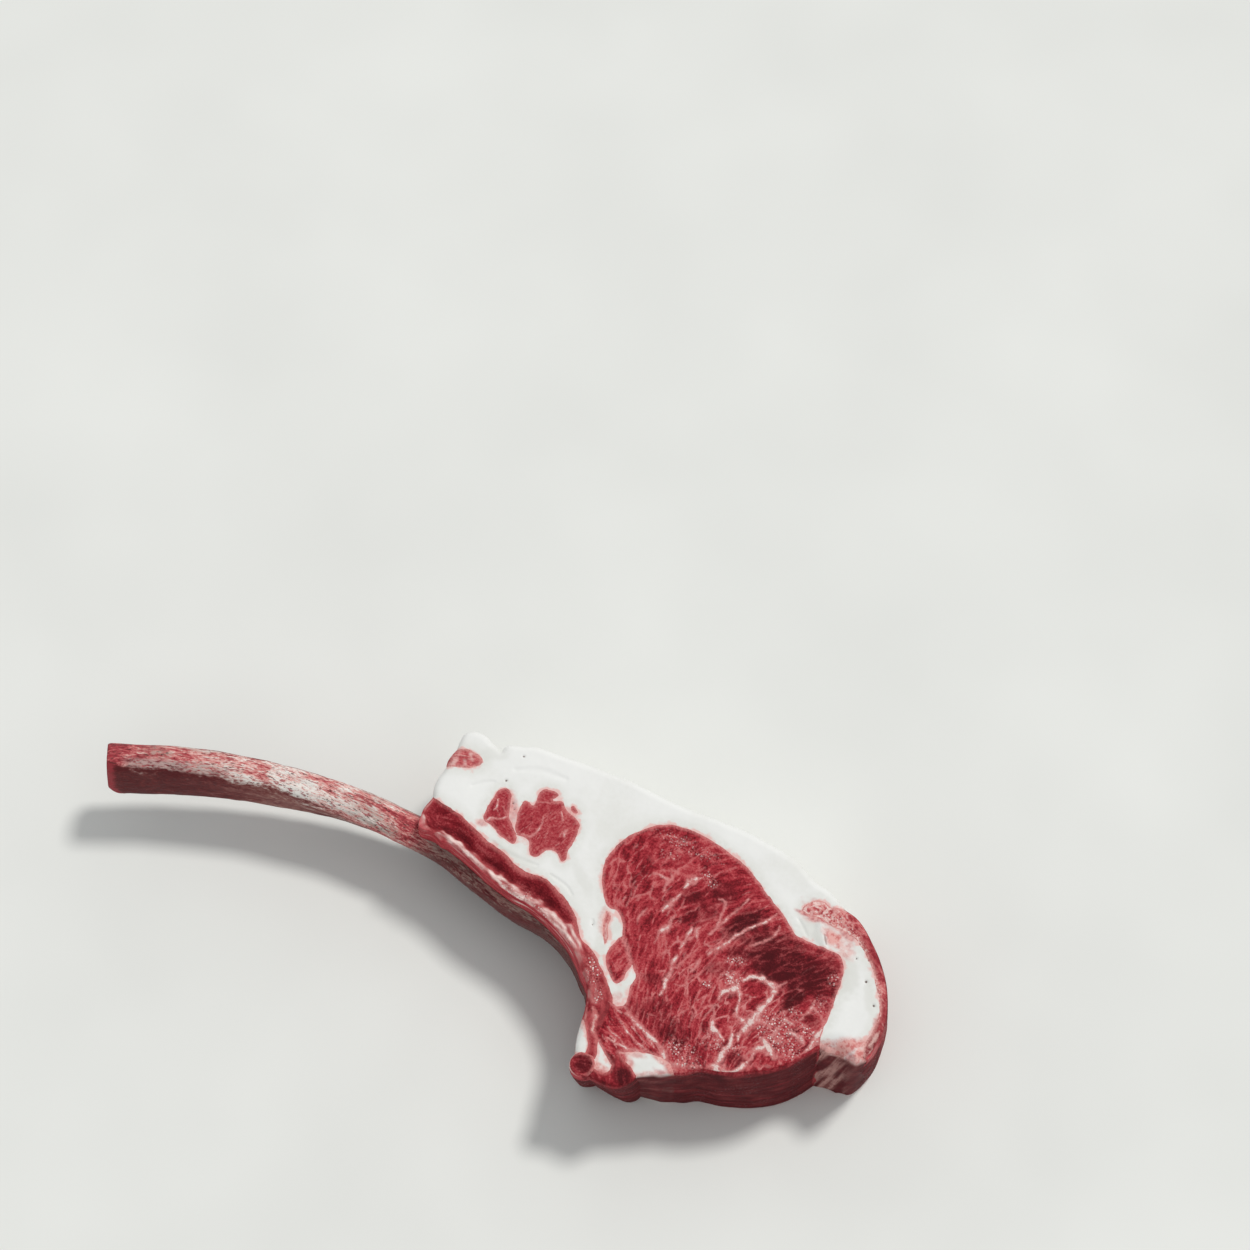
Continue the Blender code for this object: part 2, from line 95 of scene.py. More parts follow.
# Profiles: places along x, and the value at each of them.
# How far the foot of the chine's wall lies in under its top, and how far in points still move.
UNDERCUT = ((16.0, 20.0, 26.0, 34.0, 62.0, 66.0, 71.0), (5.4, 5.4, 4.8, 1.4, -1.8, -1.8, 1.4))
UNDERCUT_REACH = 12.0
# The rim's radius, and the line it is tighter along beside the rib.
RIM_RADIUS = 1.45
RIB_SIDE_LINE = ((-26.0, -13.0, 0.0, 9.0, 16.0), (19.0, 14.5, 9.5, 4.5, -8.0))
# The strip along the rib: how wide its raised edge is and how far it leans out, and its trough.
RIDGE_REACH = ((-27.0, -23.0, -18.0, 4.0, 11.0, 15.0), (0.1, 0.8, 1.5, 2.0, 2.3, 2.0))
RIDGE_SPREAD = ((-26.0, -18.0, -4.0, 6.0, 12.0), (0.0, 0.9, 1.3, 1.0, 0.0))
TROUGH_DEPTH = 1.1
TROUGH_REACH = ((-27.0, -24.0, 12.0, 16.0), (0.2, 1.0, 1.0, 0.0))
# The chine's wall: how far down dark blood and painted shade begin, and how much film hangs past
# a place.
BLOOD_AND_SHADE_BEGINS = ((15.5, 17.5, 23.0, 26.0, 29.0, 40.0, 44.0, 62.0),
                (9.0, 6.0, 4.5, 2.4, 0.2, 0.2, 0.9, 0.9))
FILM_START = 61.0
FILM_SHARE = ((60.6, 61.6, 66.0, 68.5), (0.0, 0.85, 0.75, 0.1))
# How far down the wall lean shows through the fat, and how blotched the outer layer is.
MEAT_REACH = ((60.5, 62.0, 66.0, 69.0), (0.0, 4.0, 3.5, 6.0))
BLOTCH_SHARE = ((57.0, 61.0, 66.0), (0.85, 0.6, 0.35))
TORN_SHARE = ((60.0, 64.0), (1.0, 0.45))
# Along x, where the collar's face and wall end, and where the rib's side ends at the chine.
COLLAR_FACE, COLLAR_WALL, RIB_SIDE_END = -24.4, -23.0, 16.0
# The chine's wall lies beyond this x and below this y.
CHINE_START, CHINE_TOP = 14.0, 1.0
# Flesh left on the chine's end: x, y and size of a tip and of a lump.
FLESH_TIP, FLESH_LUMP = (25.4, -17.7, 1.7), (17.8, -25.4, 1.6)

# ---------------------------------------------------------------- the drawing

TAIL_FOOT = (-25.6, 21.6)
TAIL_STRIP_LOW = (-25.2, 28.6)
TAIL_STRIP_HIGH = (-24.5, 32.7)
LAYER_START = (58.2, 24.1)
LAYER_END = (70.1, -3.8)
EYE_CORNER = (61.4, -3.5)
CHINE_FAT_TIP = (36.6, -17.9)
CHINE_FAT_FOOT = (30.0, -20.7)
FORK_LEFT = (21.2, -8.1)
FORK_RIGHT = (23.3, -7.9)
INNER_LOW = (22.4, 0.4)
INNER_HIGH = (18.7, 5.4)
VEIN_FOOT = (33.6, -15.6)
END_TOP = (25.2, -17.2)
SEAM_TOP = (21.0, -16.4)
SEAM_FOOT = (24.8, -20.2)
EDGE_FAT_TOP = (16.6, -12.6)
KNOB_EDGE_FAT = 146.0
KNOB_STRIP = 92.0
KNOB_SEAM = 38.0
KNOB_END = -2.0
KNOB_OUTSIDE = -46.0


def knob_point(angle):
    turn = math.radians(angle)
    return (
        KNOB_MIDDLE[0] + KNOB_RADIUS * math.cos(turn),
        KNOB_MIDDLE[1] + KNOB_RADIUS * math.sin(turn),
    )


def knob_arc(start, end, count=5):
    return [knob_point(start + (end - start) * i / (count - 1)) for i in range(count)]


ARCS = {
    "tail_low": [TAIL_FOOT, (-26.1, 23.5), (-26.0, 25.5), (-25.5, 27.3), TAIL_STRIP_LOW],
    "tail_mid": [TAIL_STRIP_LOW, (-25.3, 30.0), (-25.0, 31.4), TAIL_STRIP_HIGH],
    "tail_top": [
        TAIL_STRIP_HIGH, (-24.4, 34.6), (-24.1, 36.4), (-22.9, 37.4), (-21.3, 37.6),
        (-19.7, 37.2), (-17.9, 36.1), (-16.0, 35.2),
    ],
    "back": [
        (-16.0, 35.2), (-15.1, 36.7), (-12.5, 37.4), (-9.3, 38.1), (-3.0, 37.8),
        (5.0, 37.3), (12.0, 36.6), (20.0, 35.1), (30.0, 34.3), (35.5, 33.7), (42.0, 32.2),
        (46.5, 30.8), (51.0, 27.9), (54.2, 26.7), LAYER_START,
    ],
    "layer_outside": [
        LAYER_START, (60.6, 23.2), (63.0, 21.4), (65.0, 19.3), (67.0, 16.9), (68.9, 14.0),
        (70.3, 11.3), (71.3, 8.5), (71.9, 5.8), (72.0, 3.0), (71.7, 0.5), (71.1, -1.8),
        LAYER_END,
    ],
    "flap": [LAYER_END, (68.7, -4.8), (66.6, -3.7), (64.2, -3.2), EYE_CORNER],
    "chine_wall": [
        EYE_CORNER, (59.4, -6.4), (57.0, -9.0), (54.0, -11.2), (50.0, -13.3), (45.5, -14.9),
        (41.2, -15.7), (38.5, -17.2), CHINE_FAT_TIP,
    ],
    "chine_fat_outside": [CHINE_FAT_TIP, (33.6, -19.2), CHINE_FAT_FOOT],
    "end_outside": [
        CHINE_FAT_FOOT, (29.2, -22.2), (27.6, -23.6), (25.8, -24.1), (23.4, -23.8),
        knob_point(KNOB_OUTSIDE),
    ],
    "knob_outside": knob_arc(KNOB_OUTSIDE, KNOB_EDGE_FAT - 360.0, 10),
    "edge_fat_outside": [knob_point(KNOB_EDGE_FAT), (16.9, -18.2), (16.7, -15.5), EDGE_FAT_TOP],
    "rib_side": [
        EDGE_FAT_TOP, (16.4, -10.3), (15.6, -7.2), (13.6, -4.0), (11.4, -0.9), (8.6, 2.0),
        (5.2, 4.7), (1.0, 6.8), (-4.0, 8.3), (-9.0, 10.0), (-13.5, 12.1), (-18.5, 14.0),
        (-22.5, 14.8), (-25.0, 15.4),
    ],
    "collar": [(-25.0, 15.4), (-26.2, 17.0), (-26.5, 18.8), TAIL_FOOT],
    "fat_rib": [
        TAIL_FOOT, (-22.0, 20.5), (-18.5, 19.3), (-15.0, 17.4), (-12.0, 15.9), (-8.5, 14.7),
        (-5.5, 13.0), (-3.0, 12.3), (0.0, 12.2), (2.5, 11.4), (5.0, 9.8), (7.0, 8.3),
        (9.0, 6.3), (10.3, 4.0), (11.4, 2.3), (13.5, 1.2), (15.5, -0.5), (17.3, -2.5),
        (19.1, -4.6), (20.3, -6.4), FORK_LEFT,
    ],
    "fat_tail_strip": [
        TAIL_STRIP_LOW, (-23.0, 29.0), (-20.5, 29.6), (-18.8, 31.0), (-18.8, 32.2),
        (-20.3, 32.9), (-22.3, 33.2), TAIL_STRIP_HIGH,
    ],
    "fat_layer": [
        LAYER_START, (56.6, 23.9), (55.3, 23.5), (54.0, 24.3), (52.4, 24.2), (50.9, 23.0),
        (50.2, 21.3), (52.0, 20.6), (54.0, 20.7), (56.4, 19.9), (59.4, 19.5), (61.3, 18.8),
        (64.0, 17.0), (66.5, 13.9), (68.6, 10.2), (70.1, 7.0), (70.5, 4.6), (70.2, 1.4),
        (69.6, -0.8), LAYER_END,
    ],
    "fat_eye": [
        EYE_CORNER, (61.0, -1.6), (61.3, 1.0), (61.6, 6.0), (61.7, 9.5), (61.4, 12.4),
        (59.7, 14.6), (56.5, 15.2), (52.5, 15.6), (50.0, 16.3), (47.5, 18.9), (44.0, 21.4),
        (40.5, 24.3), (37.0, 26.7), (32.5, 28.6), (27.5, 30.1), (23.0, 30.5), (18.8, 29.7),
        (15.3, 27.3), (12.5, 24.0), (11.0, 20.0), (10.9, 17.2), (12.0, 13.6), (14.0, 10.5),
        (16.0, 10.2), (17.8, 8.1), INNER_HIGH,
    ],
    "fat_inner": [
        INNER_HIGH, (17.5, 3.5), (17.0, 1.0), (17.5, -0.9), (18.7, -2.7), (20.3, -4.1),
        (21.4, -3.3), (21.7, -1.4), INNER_LOW,
    ],
    "eye_inner": [INNER_LOW, (21.2, 1.9), (19.9, 4.0), INNER_HIGH],
    "fat_eye_fork": [INNER_LOW, (23.7, -1.6), (23.3, -4.2), (23.6, -6.2), FORK_RIGHT],
    "fat_chine_muscle": [FORK_LEFT, (22.2, -8.5), FORK_RIGHT],
    "eye_chine_muscle": [
        FORK_RIGHT, (25.0, -9.5), (28.0, -11.2), (31.0, -13.1), (32.7, -14.4), VEIN_FOOT,
    ],
    "eye_chine_fat": [VEIN_FOOT, (35.4, -16.3), CHINE_FAT_TIP],
    "chine_fat_muscle": [VEIN_FOOT, (31.5, -15.7), (28.5, -16.0), END_TOP],
    "chine_fat_end": [END_TOP, (26.6, -18.0), (28.5, -19.3), CHINE_FAT_FOOT],
    "end_muscle": [END_TOP, (24.6, -18.6), SEAM_FOOT],
    "seam_muscle": [SEAM_TOP, (22.4, -17.7), (23.7, -19.0), SEAM_FOOT],
    "seam_end": [SEAM_FOOT, (24.7, -21.4), (23.4, -22.0), knob_point(KNOB_END)],
    "seam_rib": [knob_point(KNOB_SEAM), (21.5, -18.8), (21.1, -17.6), SEAM_TOP],
    "rib_chine_muscle": [FORK_LEFT, (20.8, -10.0), (20.4, -13.0), (20.5, -15.0), SEAM_TOP],
    "rib_edge_fat": [
        knob_point(KNOB_STRIP), (19.3, -17.6), (18.2, -15.3), (17.3, -13.6), EDGE_FAT_TOP,
    ],
    "knob_edge_fat": knob_arc(KNOB_EDGE_FAT, KNOB_STRIP),
    "knob_rib": knob_arc(KNOB_STRIP, KNOB_SEAM),
    "knob_seam": knob_arc(KNOB_SEAM, KNOB_END),
    "knob_end": knob_arc(KNOB_END, KNOB_OUTSIDE),
}
OUTSIDE = (
    "tail_low tail_mid tail_top back layer_outside flap chine_wall chine_fat_outside "
    "end_outside knob_outside edge_fat_outside rib_side collar"
)
LOWER_ARCS = "flap chine_wall chine_fat_outside end_outside edge_fat_outside rib_side collar"
PIECES = {
    "eye_muscle": (
        "-fat_eye chine_wall -eye_chine_fat -eye_chine_muscle -fat_eye_fork eye_inner"
    ),
    "rib_strip": (
        "fat_rib rib_chine_muscle -seam_rib -knob_rib rib_edge_fat rib_side collar"
    ),
    "tail_strip": "tail_mid -fat_tail_strip",
    "outer_layer": "layer_outside -fat_layer",
    "inner_muscle": "fat_inner eye_inner",
    "chine_muscle": (
        "fat_chine_muscle eye_chine_muscle chine_fat_muscle end_muscle -seam_muscle "
        "-rib_chine_muscle"
    ),
    "chine_fat": "eye_chine_fat chine_fat_outside -chine_fat_end -chine_fat_muscle",
    "chine_end": "chine_fat_end end_outside -knob_end -seam_end -end_muscle",
    "seam_fat": "seam_muscle seam_end -knob_seam seam_rib",
    "edge_fat": "edge_fat_outside -rib_edge_fat -knob_edge_fat",
    "chine_knob": "knob_edge_fat knob_rib knob_seam knob_end knob_outside",
}
ISLANDS = {
    "side_muscle_left": [
        (-12.5, 27.7), (-11.1, 26.7), (-10.6, 24.6), (-10.1, 22.4), (-8.6, 20.6),
        (-7.2, 18.4), (-7.7, 17.0), (-10.2, 17.7), (-12.4, 19.1), (-14.6, 20.2),
        (-14.6, 23.0), (-14.0, 26.4),
    ],
    "side_muscle_right": [
        (-8.5, 25.9), (-7.3, 26.3), (-6.2, 25.9), (-6.0, 28.2), (-5.2, 29.8), (-3.4, 30.0),
        (-2.3, 29.5), (-2.9, 28.1), (-1.0, 28.3), (0.3, 26.9), (2.4, 25.9), (3.7, 24.3),
        (3.7, 21.5), (3.2, 19.0), (3.5, 17.3), (2.6, 16.5), (1.2, 17.9), (-0.9, 17.7),
        (-2.0, 16.0), (-3.7, 15.9), (-4.9, 18.6), (-7.4, 19.2), (-8.4, 22.0),
    ],
    "side_muscle_bit": [(0.9, 27.9), (1.4, 28.3), (2.3, 27.7), (2.6, 27.0), (1.6, 26.9)],
    "pink_sliver": [
        (14.1, 9.3), (15.3, 8.4), (15.5, 6.4), (16.3, 4.4), (15.9, 2.9), (14.8, 5.2),
    ],
}
LABELS = ["fat_cap", *PIECES, *ISLANDS]
MELTING = ("chine_end", "chine_muscle", "rib_strip")
FAT_PIECES = ("fat_cap", "chine_fat", "seam_fat", "edge_fat")
SLOTS = {
    "fat_cap": "fat", "chine_fat": "fat", "seam_fat": "fat", "edge_fat": "fat",
    "rib_strip": "dark_muscle", "chine_end": "dark_muscle",
    "outer_layer": "pale_muscle", "tail_strip": "pale_muscle", "pink_sliver": "pale_muscle",
    "chine_knob": "marrow",
}

# The rib's middle line: x, y and height, from the cut end of the handle into the meat.
RIB_LINE = [
    (-89.7, 9.8, 15.0), (-85.0, 11.3, 14.8), (-75.0, 14.2, 14.2), (-60.0, 17.1, 13.2),
    (-45.0, 18.4, 12.4), (-35.0, 18.1, 11.8), (-27.0, 17.0, 11.4), (-20.0, 15.4, 11.1),
    (-12.0, 12.1, 10.9), (-5.0, 9.4, 10.9), (2.0, 7.4, 11.2), (7.0, 5.0, 11.9),
    (10.6, 2.2, 12.8), (13.4, -1.2, 13.6), (16.2, -5.2, 14.4), (18.3, -10.6, 14.8),
]
# How much larger its section is than the half sizes, and its turn in degrees, along its length.
RIB_SWELL = ((0.0, 0.004, 0.1, 0.3, 0.55, 0.76, 0.86, 0.92, 1.0),
             (1.02, 1.055, 1.06, 1.03, 1.00, 0.96, 0.78, 0.62, 0.42))
RIB_TURN = ((0.0, 0.25, 0.5, 0.7, 0.9), (12.0, 3.0, -22.0, -20.0, 0.0))
RIB_HALF_THICKNESS = 3.3
RIB_HALF_HEIGHT = 6.0
RIB_SQUARENESS = 3.2
RIB_LOWER_SQUARENESS = 2.3
RIB_INNER_SQUARENESS = 2.6
RIB_STEP = 0.45
RIB_SIDES = 88
RIB_CAP_RINGS = 8
RIB_CORNER = 3.6
RIB_CORNER_REACH = 5.0

# Pale veins in the lean: strength, and the line they follow as x, y and half width in mm.
VEINS = [
    (1.5, [(61.2, -0.2, 0.15), (60.7, -1.6, 0.45), (60.2, -3.0, 0.5), (59.8, -4.4, 0.25)]),
    (0.85, [(17.8, -10.1, 0.3), (18.7, -11.4, 0.5), (19.2, -14.2, 0.45), (20.9, -16.5, 0.45),
            (22.4, -18.3, 0.4)]),
    (0.7, [(16.4, -9.4, 0.2), (16.6, -11.0, 0.4), (17.7, -14.7, 0.4), (19.0, -17.5, 0.35)]),
    (0.6, [(16.2, -3.4, 0.25), (16.0, -5.4, 0.45), (16.6, -7.4, 0.4), (17.8, -9.4, 0.2)]),
    (1.2, [
        (43.7, 3.9, 0.35), (44.4, 4.6, 0.38), (45.4, 5.3, 0.40), (46.5, 5.5, 0.40),
        (47.5, 5.4, 0.42), (48.6, 4.9, 0.42), (49.7, 4.5, 0.60), (50.0, 3.3, 0.48),
        (50.0, 2.3, 0.38), (49.5, 1.3, 0.40), (49.0, 0.3, 0.50), (48.6, -0.8, 0.50),
        (48.4, -2.0, 0.75), (47.8, -3.2, 1.05), (47.2, -4.4, 0.85), (46.6, -5.6, 0.60),
        (46.2, -7.0, 0.38), (46.3, -8.0, 0.20),
    ]),
    (1.15, [
        (40.3, 4.2, 0.35), (41.3, 3.6, 0.45), (42.4, 2.2, 0.70), (42.2, 1.6, 0.75),
        (40.8, 0.5, 0.50), (40.3, -1.1, 0.25),
    ]),
    (1.15, [
        (42.6, 2.6, 0.50), (43.8, 1.3, 0.35), (44.2, -0.2, 0.36), (44.4, -1.8, 0.38),
        (44.7, -3.4, 0.45), (46.4, -3.9, 0.50),
    ]),
    (0.6, [(43.6, -4.9, 0.35), (45.0, -4.4, 0.50), (46.6, -4.2, 0.50)]),
    (1.15, [
        (40.5, -5.4, 0.25), (40.8, -6.6, 0.40), (41.1, -7.3, 0.60), (42.1, -7.4, 0.40),
        (43.1, -8.3, 0.30), (43.8, -8.9, 0.20),
    ]),
    (0.6, [(41.0, -7.4, 0.40), (40.6, -8.7, 0.30), (40.0, -10.1, 0.20), (39.8, -11.2, 0.15)]),
    (1.25, [
        (44.8, -6.9, 0.22), (45.0, -8.2, 0.34), (44.9, -9.7, 0.42), (44.3, -11.0, 0.50),
        (44.1, -12.2, 0.62), (44.0, -13.5, 0.90), (44.2, -15.0, 1.20),
    ]),
    (1.1, [
        (44.6, -15.0, 0.60), (46.3, -14.6, 0.40), (47.7, -13.9, 0.42), (48.6, -12.6, 0.55),
        (49.3, -11.4, 0.36), (49.8, -9.8, 0.36), (50.1, -8.4, 0.50), (51.3, -7.6, 0.60),
    ]),
    (1.2, [(50.8, -6.1, 0.45), (51.7, -7.1, 0.70), (52.7, -8.0, 0.80), (53.7, -8.9, 0.60)]),
    (0.75, [(53.9, -1.0, 0.40), (53.2, -2.4, 0.45), (52.6, -3.9, 0.40), (52.2, -5.3, 0.40)]),
    (0.8, [(53.8, -1.2, 0.40), (54.6, -1.5, 0.35), (55.6, -1.6, 0.30)]),
    (0.8, [(55.2, -3.3, 0.40), (56.6, -3.6, 0.55), (57.9, -4.0, 0.50), (58.6, -4.6, 0.30)]),
    (1.0, [
        (60.8, -0.7, 0.30), (60.6, -2.2, 0.60), (60.4, -3.5, 0.70), (59.9, -4.7, 0.55),
        (59.3, -6.0, 0.35),
    ]),
    (0.65, [
        (58.0, 4.3, 0.25), (57.9, 3.0, 0.32), (57.6, 1.8, 0.38), (57.0, 0.9, 0.35),
        (56.3, -0.5, 0.35),
    ]),
    (0.55, [(57.9, 3.0, 0.25), (58.7, 2.6, 0.28), (59.9, 1.8, 0.28), (60.7, 1.0, 0.35)]),
    (0.6, [(50.0, 4.6, 0.30), (50.7, 5.2, 0.28), (51.6, 6.3, 0.20)]),
    (0.9, [
        (45.7, 19.0, 0.20), (44.6, 17.3, 0.28), (43.2, 15.9, 0.26), (41.6, 14.6, 0.25),
        (40.2, 13.1, 0.28), (39.1, 11.6, 0.34), (38.2, 10.1, 0.38), (37.2, 8.8, 0.60),
        (36.2, 8.0, 0.42), (35.6, 7.0, 0.25),
    ]),
    (0.6, [(47.1, 16.7, 0.22), (46.8, 14.9, 0.30), (45.8, 13.5, 0.32), (44.4, 12.2, 0.32),
           (42.9, 11.1, 0.25)]),
    (0.7, [(39.8, 20.2, 0.20), (38.5, 17.8, 0.30), (37.6, 16.3, 0.30), (36.6, 14.6, 0.34),
           (35.7, 13.0, 0.42), (34.7, 10.9, 0.25)]),
    (0.7, [(34.1, 18.5, 0.20), (35.5, 18.4, 0.30), (35.8, 17.0, 0.28), (35.6, 15.2, 0.30),
           (35.6, 13.4, 0.35)]),
    (1.0, [(29.4, 21.4, 0.30), (28.8, 21.2, 0.60), (28.0, 20.5, 0.80), (27.5, 19.3, 0.50),
           (27.1, 18.6, 0.25)]),
    (0.95, [(26.8, 17.2, 0.20), (26.1, 15.8, 0.45), (25.3, 14.5, 0.52), (24.7, 13.4, 0.45),
            (24.6, 12.6, 0.25)]),
    (0.8, [(20.7, 19.7, 0.30), (21.4, 19.7, 0.30), (22.6, 19.3, 0.30), (23.6, 19.3, 0.35)]),
    (0.7, [(23.1, 21.2, 0.20), (24.3, 20.1, 0.35), (23.7, 18.7, 0.38), (23.4, 17.7, 0.30),
           (23.6, 16.7, 0.22)]),
    (0.85, [(27.1, 12.9, 0.18), (26.7, 11.8, 0.28), (26.7, 10.4, 0.42), (26.4, 9.7, 0.50),
            (25.5, 8.5, 0.40), (25.2, 7.2, 0.30), (25.0, 6.0, 0.20)]),
    (0.65, [(21.6, 12.6, 0.22), (21.0, 11.2, 0.30), (20.5, 10.2, 0.30), (20.8, 8.6, 0.18)]),
    (0.5, [(16.9, 13.6, 0.20), (16.5, 12.2, 0.25)]),
    (0.4, [(17.6, 16.9, 0.25), (17.3, 15.4, 0.22), (17.7, 13.6, 0.22), (17.5, 11.5, 0.20)]),
    (0.4, [(14.0, 15.0, 0.30), (14.8, 14.4, 0.45)]),
    (0.85, [(31.0, 10.9, 0.30), (30.6, 9.4, 0.42), (30.5, 8.1, 0.30), (30.1, 6.5, 0.22)]),
    (0.7, [(32.6, 12.0, 0.25), (32.0, 11.2, 0.35), (32.4, 9.6, 0.30)]),
    (0.9, [(30.0, 5.0, 0.25), (29.8, 3.6, 0.34), (29.8, 1.9, 0.40), (29.7, 0.2, 0.62),
           (29.5, -1.2, 0.48), (29.6, -2.6, 0.28), (29.3, -3.9, 0.20)]),
    (0.4, [(29.6, -5.3, 0.20), (29.3, -6.3, 0.25)]),
    (0.65, [(34.4, 5.6, 0.30), (34.2, 4.7, 0.45), (33.9, 3.3, 0.35), (33.5, 2.4, 0.20)]),
    (0.45, [(37.7, -1.1, 0.22), (37.4, -3.6, 0.25), (36.7, -5.4, 0.30), (36.6, -7.0, 0.30),
            (36.6, -8.4, 0.20)]),
    (0.45, [(35.0, -2.4, 0.20), (35.6, -4.2, 0.20), (36.5, -5.4, 0.25)]),
    (0.5, [(31.2, -0.8, 0.20), (32.3, -0.9, 0.30), (33.2, -0.4, 0.20)]),
    (0.6, [(35.5, -16.3, 0.50), (38.0, -15.9, 0.55), (41.0, -15.1, 0.50)]),
    (0.8, [(71.4, 2.6, 0.15), (71.2, 1.4, 0.3), (70.8, 0.2, 0.35), (70.5, -0.8, 0.2)]),
    (0.7, [(71.6, -0.4, 0.15), (71.2, -1.4, 0.25), (70.8, -2.4, 0.2)]),
    # The round muscles in the side fat.
    (1.0, [(-14.5, 19.7, 0.22), (-12.7, 20.9, 0.24), (-10.9, 21.5, 0.24), (-9.8, 22.6, 0.2)]),
    (0.9, [(-13.2, 22.6, 0.18), (-12.9, 23.8, 0.18), (-13.2, 25.0, 0.15)]),
    (1.0, [(-6.4, 19.3, 0.2), (-4.9, 19.6, 0.2), (-4.0, 20.4, 0.2), (-3.4, 22.5, 0.2),
           (-3.7, 24.0, 0.15)]),
    (0.5, [(-6.0, 26.6, 0.15), (-4.4, 27.2, 0.2), (-2.6, 27.4, 0.26), (-1.4, 28.1, 0.3)]),
    (0.8, [(1.7, 22.9, 0.22), (1.4, 22.2, 0.32), (1.6, 21.6, 0.2)]),
    (0.8, [(-0.6, 26.3, 0.18), (0.3, 24.6, 0.18)]),
    # The striped muscle at the chine.
    (1.0, [(21.9, -8.9, 0.14), (23.4, -9.3, 0.18)]),
    (1.0, [(23.6, -11.2, 0.14), (24.8, -12.0, 0.18), (25.9, -13.0, 0.18), (27.0, -13.6, 0.18),
           (28.3, -14.3, 0.18), (30.0, -15.2, 0.18)]),
    (1.0, [(21.8, -13.1, 0.15), (23.1, -13.8, 0.18), (24.6, -14.4, 0.14)]),
    (1.0, [(22.3, -15.0, 0.18), (23.8, -15.5, 0.18), (25.6, -15.7, 0.28), (27.3, -15.8, 0.3),
           (28.8, -15.8, 0.25)]),
    (0.8, [(22.4, -10.5, 0.12), (24.4, -11.3, 0.15)]),
    (0.8, [(26.2, -11.6, 0.12), (28.8, -13.4, 0.15), (30.4, -14.3, 0.12)]),
    (1.0, [(24.2, -9.2, 0.20), (25.2, -9.6, 0.30), (27.4, -10.9, 0.42), (29.0, -11.8, 0.42),
           (30.6, -12.5, 0.40), (32.0, -13.4, 0.42), (33.4, -14.7, 0.50), (34.0, -15.5, 0.5)]),
]
# Darker lean: middle, radii and turn of each soft patch, and how dark.
DARK_PATCHES = [
    ((40.4, 14.8), (5.0, 2.4), 52.0, 1.0),
    ((46.4, 10.0), (3.0, 2.0), 20.0, 1.0),
    ((51.4, 9.4), (3.2, 2.4), 0.0, 1.0),
    ((50.4, 9.8), (11.4, 5.2), -14.0, 0.92),
    ((54.0, 3.2), (1.6, 2.8), -20.0, 0.95),
    ((56.8, 7.4), (2.6, 2.8), 0.0, 0.8),
    ((58.0, 9.5), (3.0, 4.6), 0.0, 0.65),
    ((41.2, 9.0), (2.4, 1.8), 10.0, 0.7),
    ((34.6, 19.8), (2.8, 2.4), 0.0, 0.55),
    ((29.4, 17.2), (2.8, 1.7), 0.0, 0.5),
    ((32.0, 14.6), (3.6, 2.2), 30.0, 0.45),
    ((38.2, 4.6), (2.6, 1.6), 10.0, 0.4),
    ((47.0, -11.6), (2.0, 1.6), 0.0, 0.55),
    ((58.3, 0.2), (1.8, 1.3), 0.0, 0.55),
    ((26.8, -1.0), (2.0, 1.2), 0.0, 0.5),
    ((28.5, -7.0), (4.6, 2.0), 20.0, 0.35),
    ((33.6, -9.8), (4.4, 2.6), -20.0, 0.42),
    ((66.4, 15.6), (1.6, 6.0), 48.0, 0.5),
    ((71.2, 4.0), (1.2, 8.0), 2.0, 0.6),
    ((71.0, -0.2), (3.4, 1.0), 72.0, 0.95),
    ((72.4, -3.4), (1.6, 1.3), 0.0, 0.9),
    ((27.6, -21.6), (1.9, 1.7), -20.0, 1.0),
    ((22.4, -24.8), (2.6, 0.9), 10.0, 0.8),
    ((24.6, -19.6), (0.9, 2.0), 20.0, 0.3),
    ((19.5, -21.5), (1.75, 1.75), 0.0, 1.0),
]
# Where pale seams part the lean into lobes: the same four values.
MESH_PATCHES = [
    ((46.0, -3.5), (13.0, 9.0), -15.0, 1.0),
    ((56.0, 2.0), (6.0, 6.0), 0.0, 0.8),
    ((34.0, 6.0), (9.0, 12.0), 20.0, 0.7),
    ((27.5, -7.0), (6.0, 5.0), 0.0, 0.5),
    ((19.0, 20.0), (9.0, 9.0), 0.0, 0.4),
    ((45.0, 14.0), (8.0, 6.0), 30.0, 0.55),
    ((-3.0, 22.0), (8.0, 6.0), 0.0, 0.35),
]
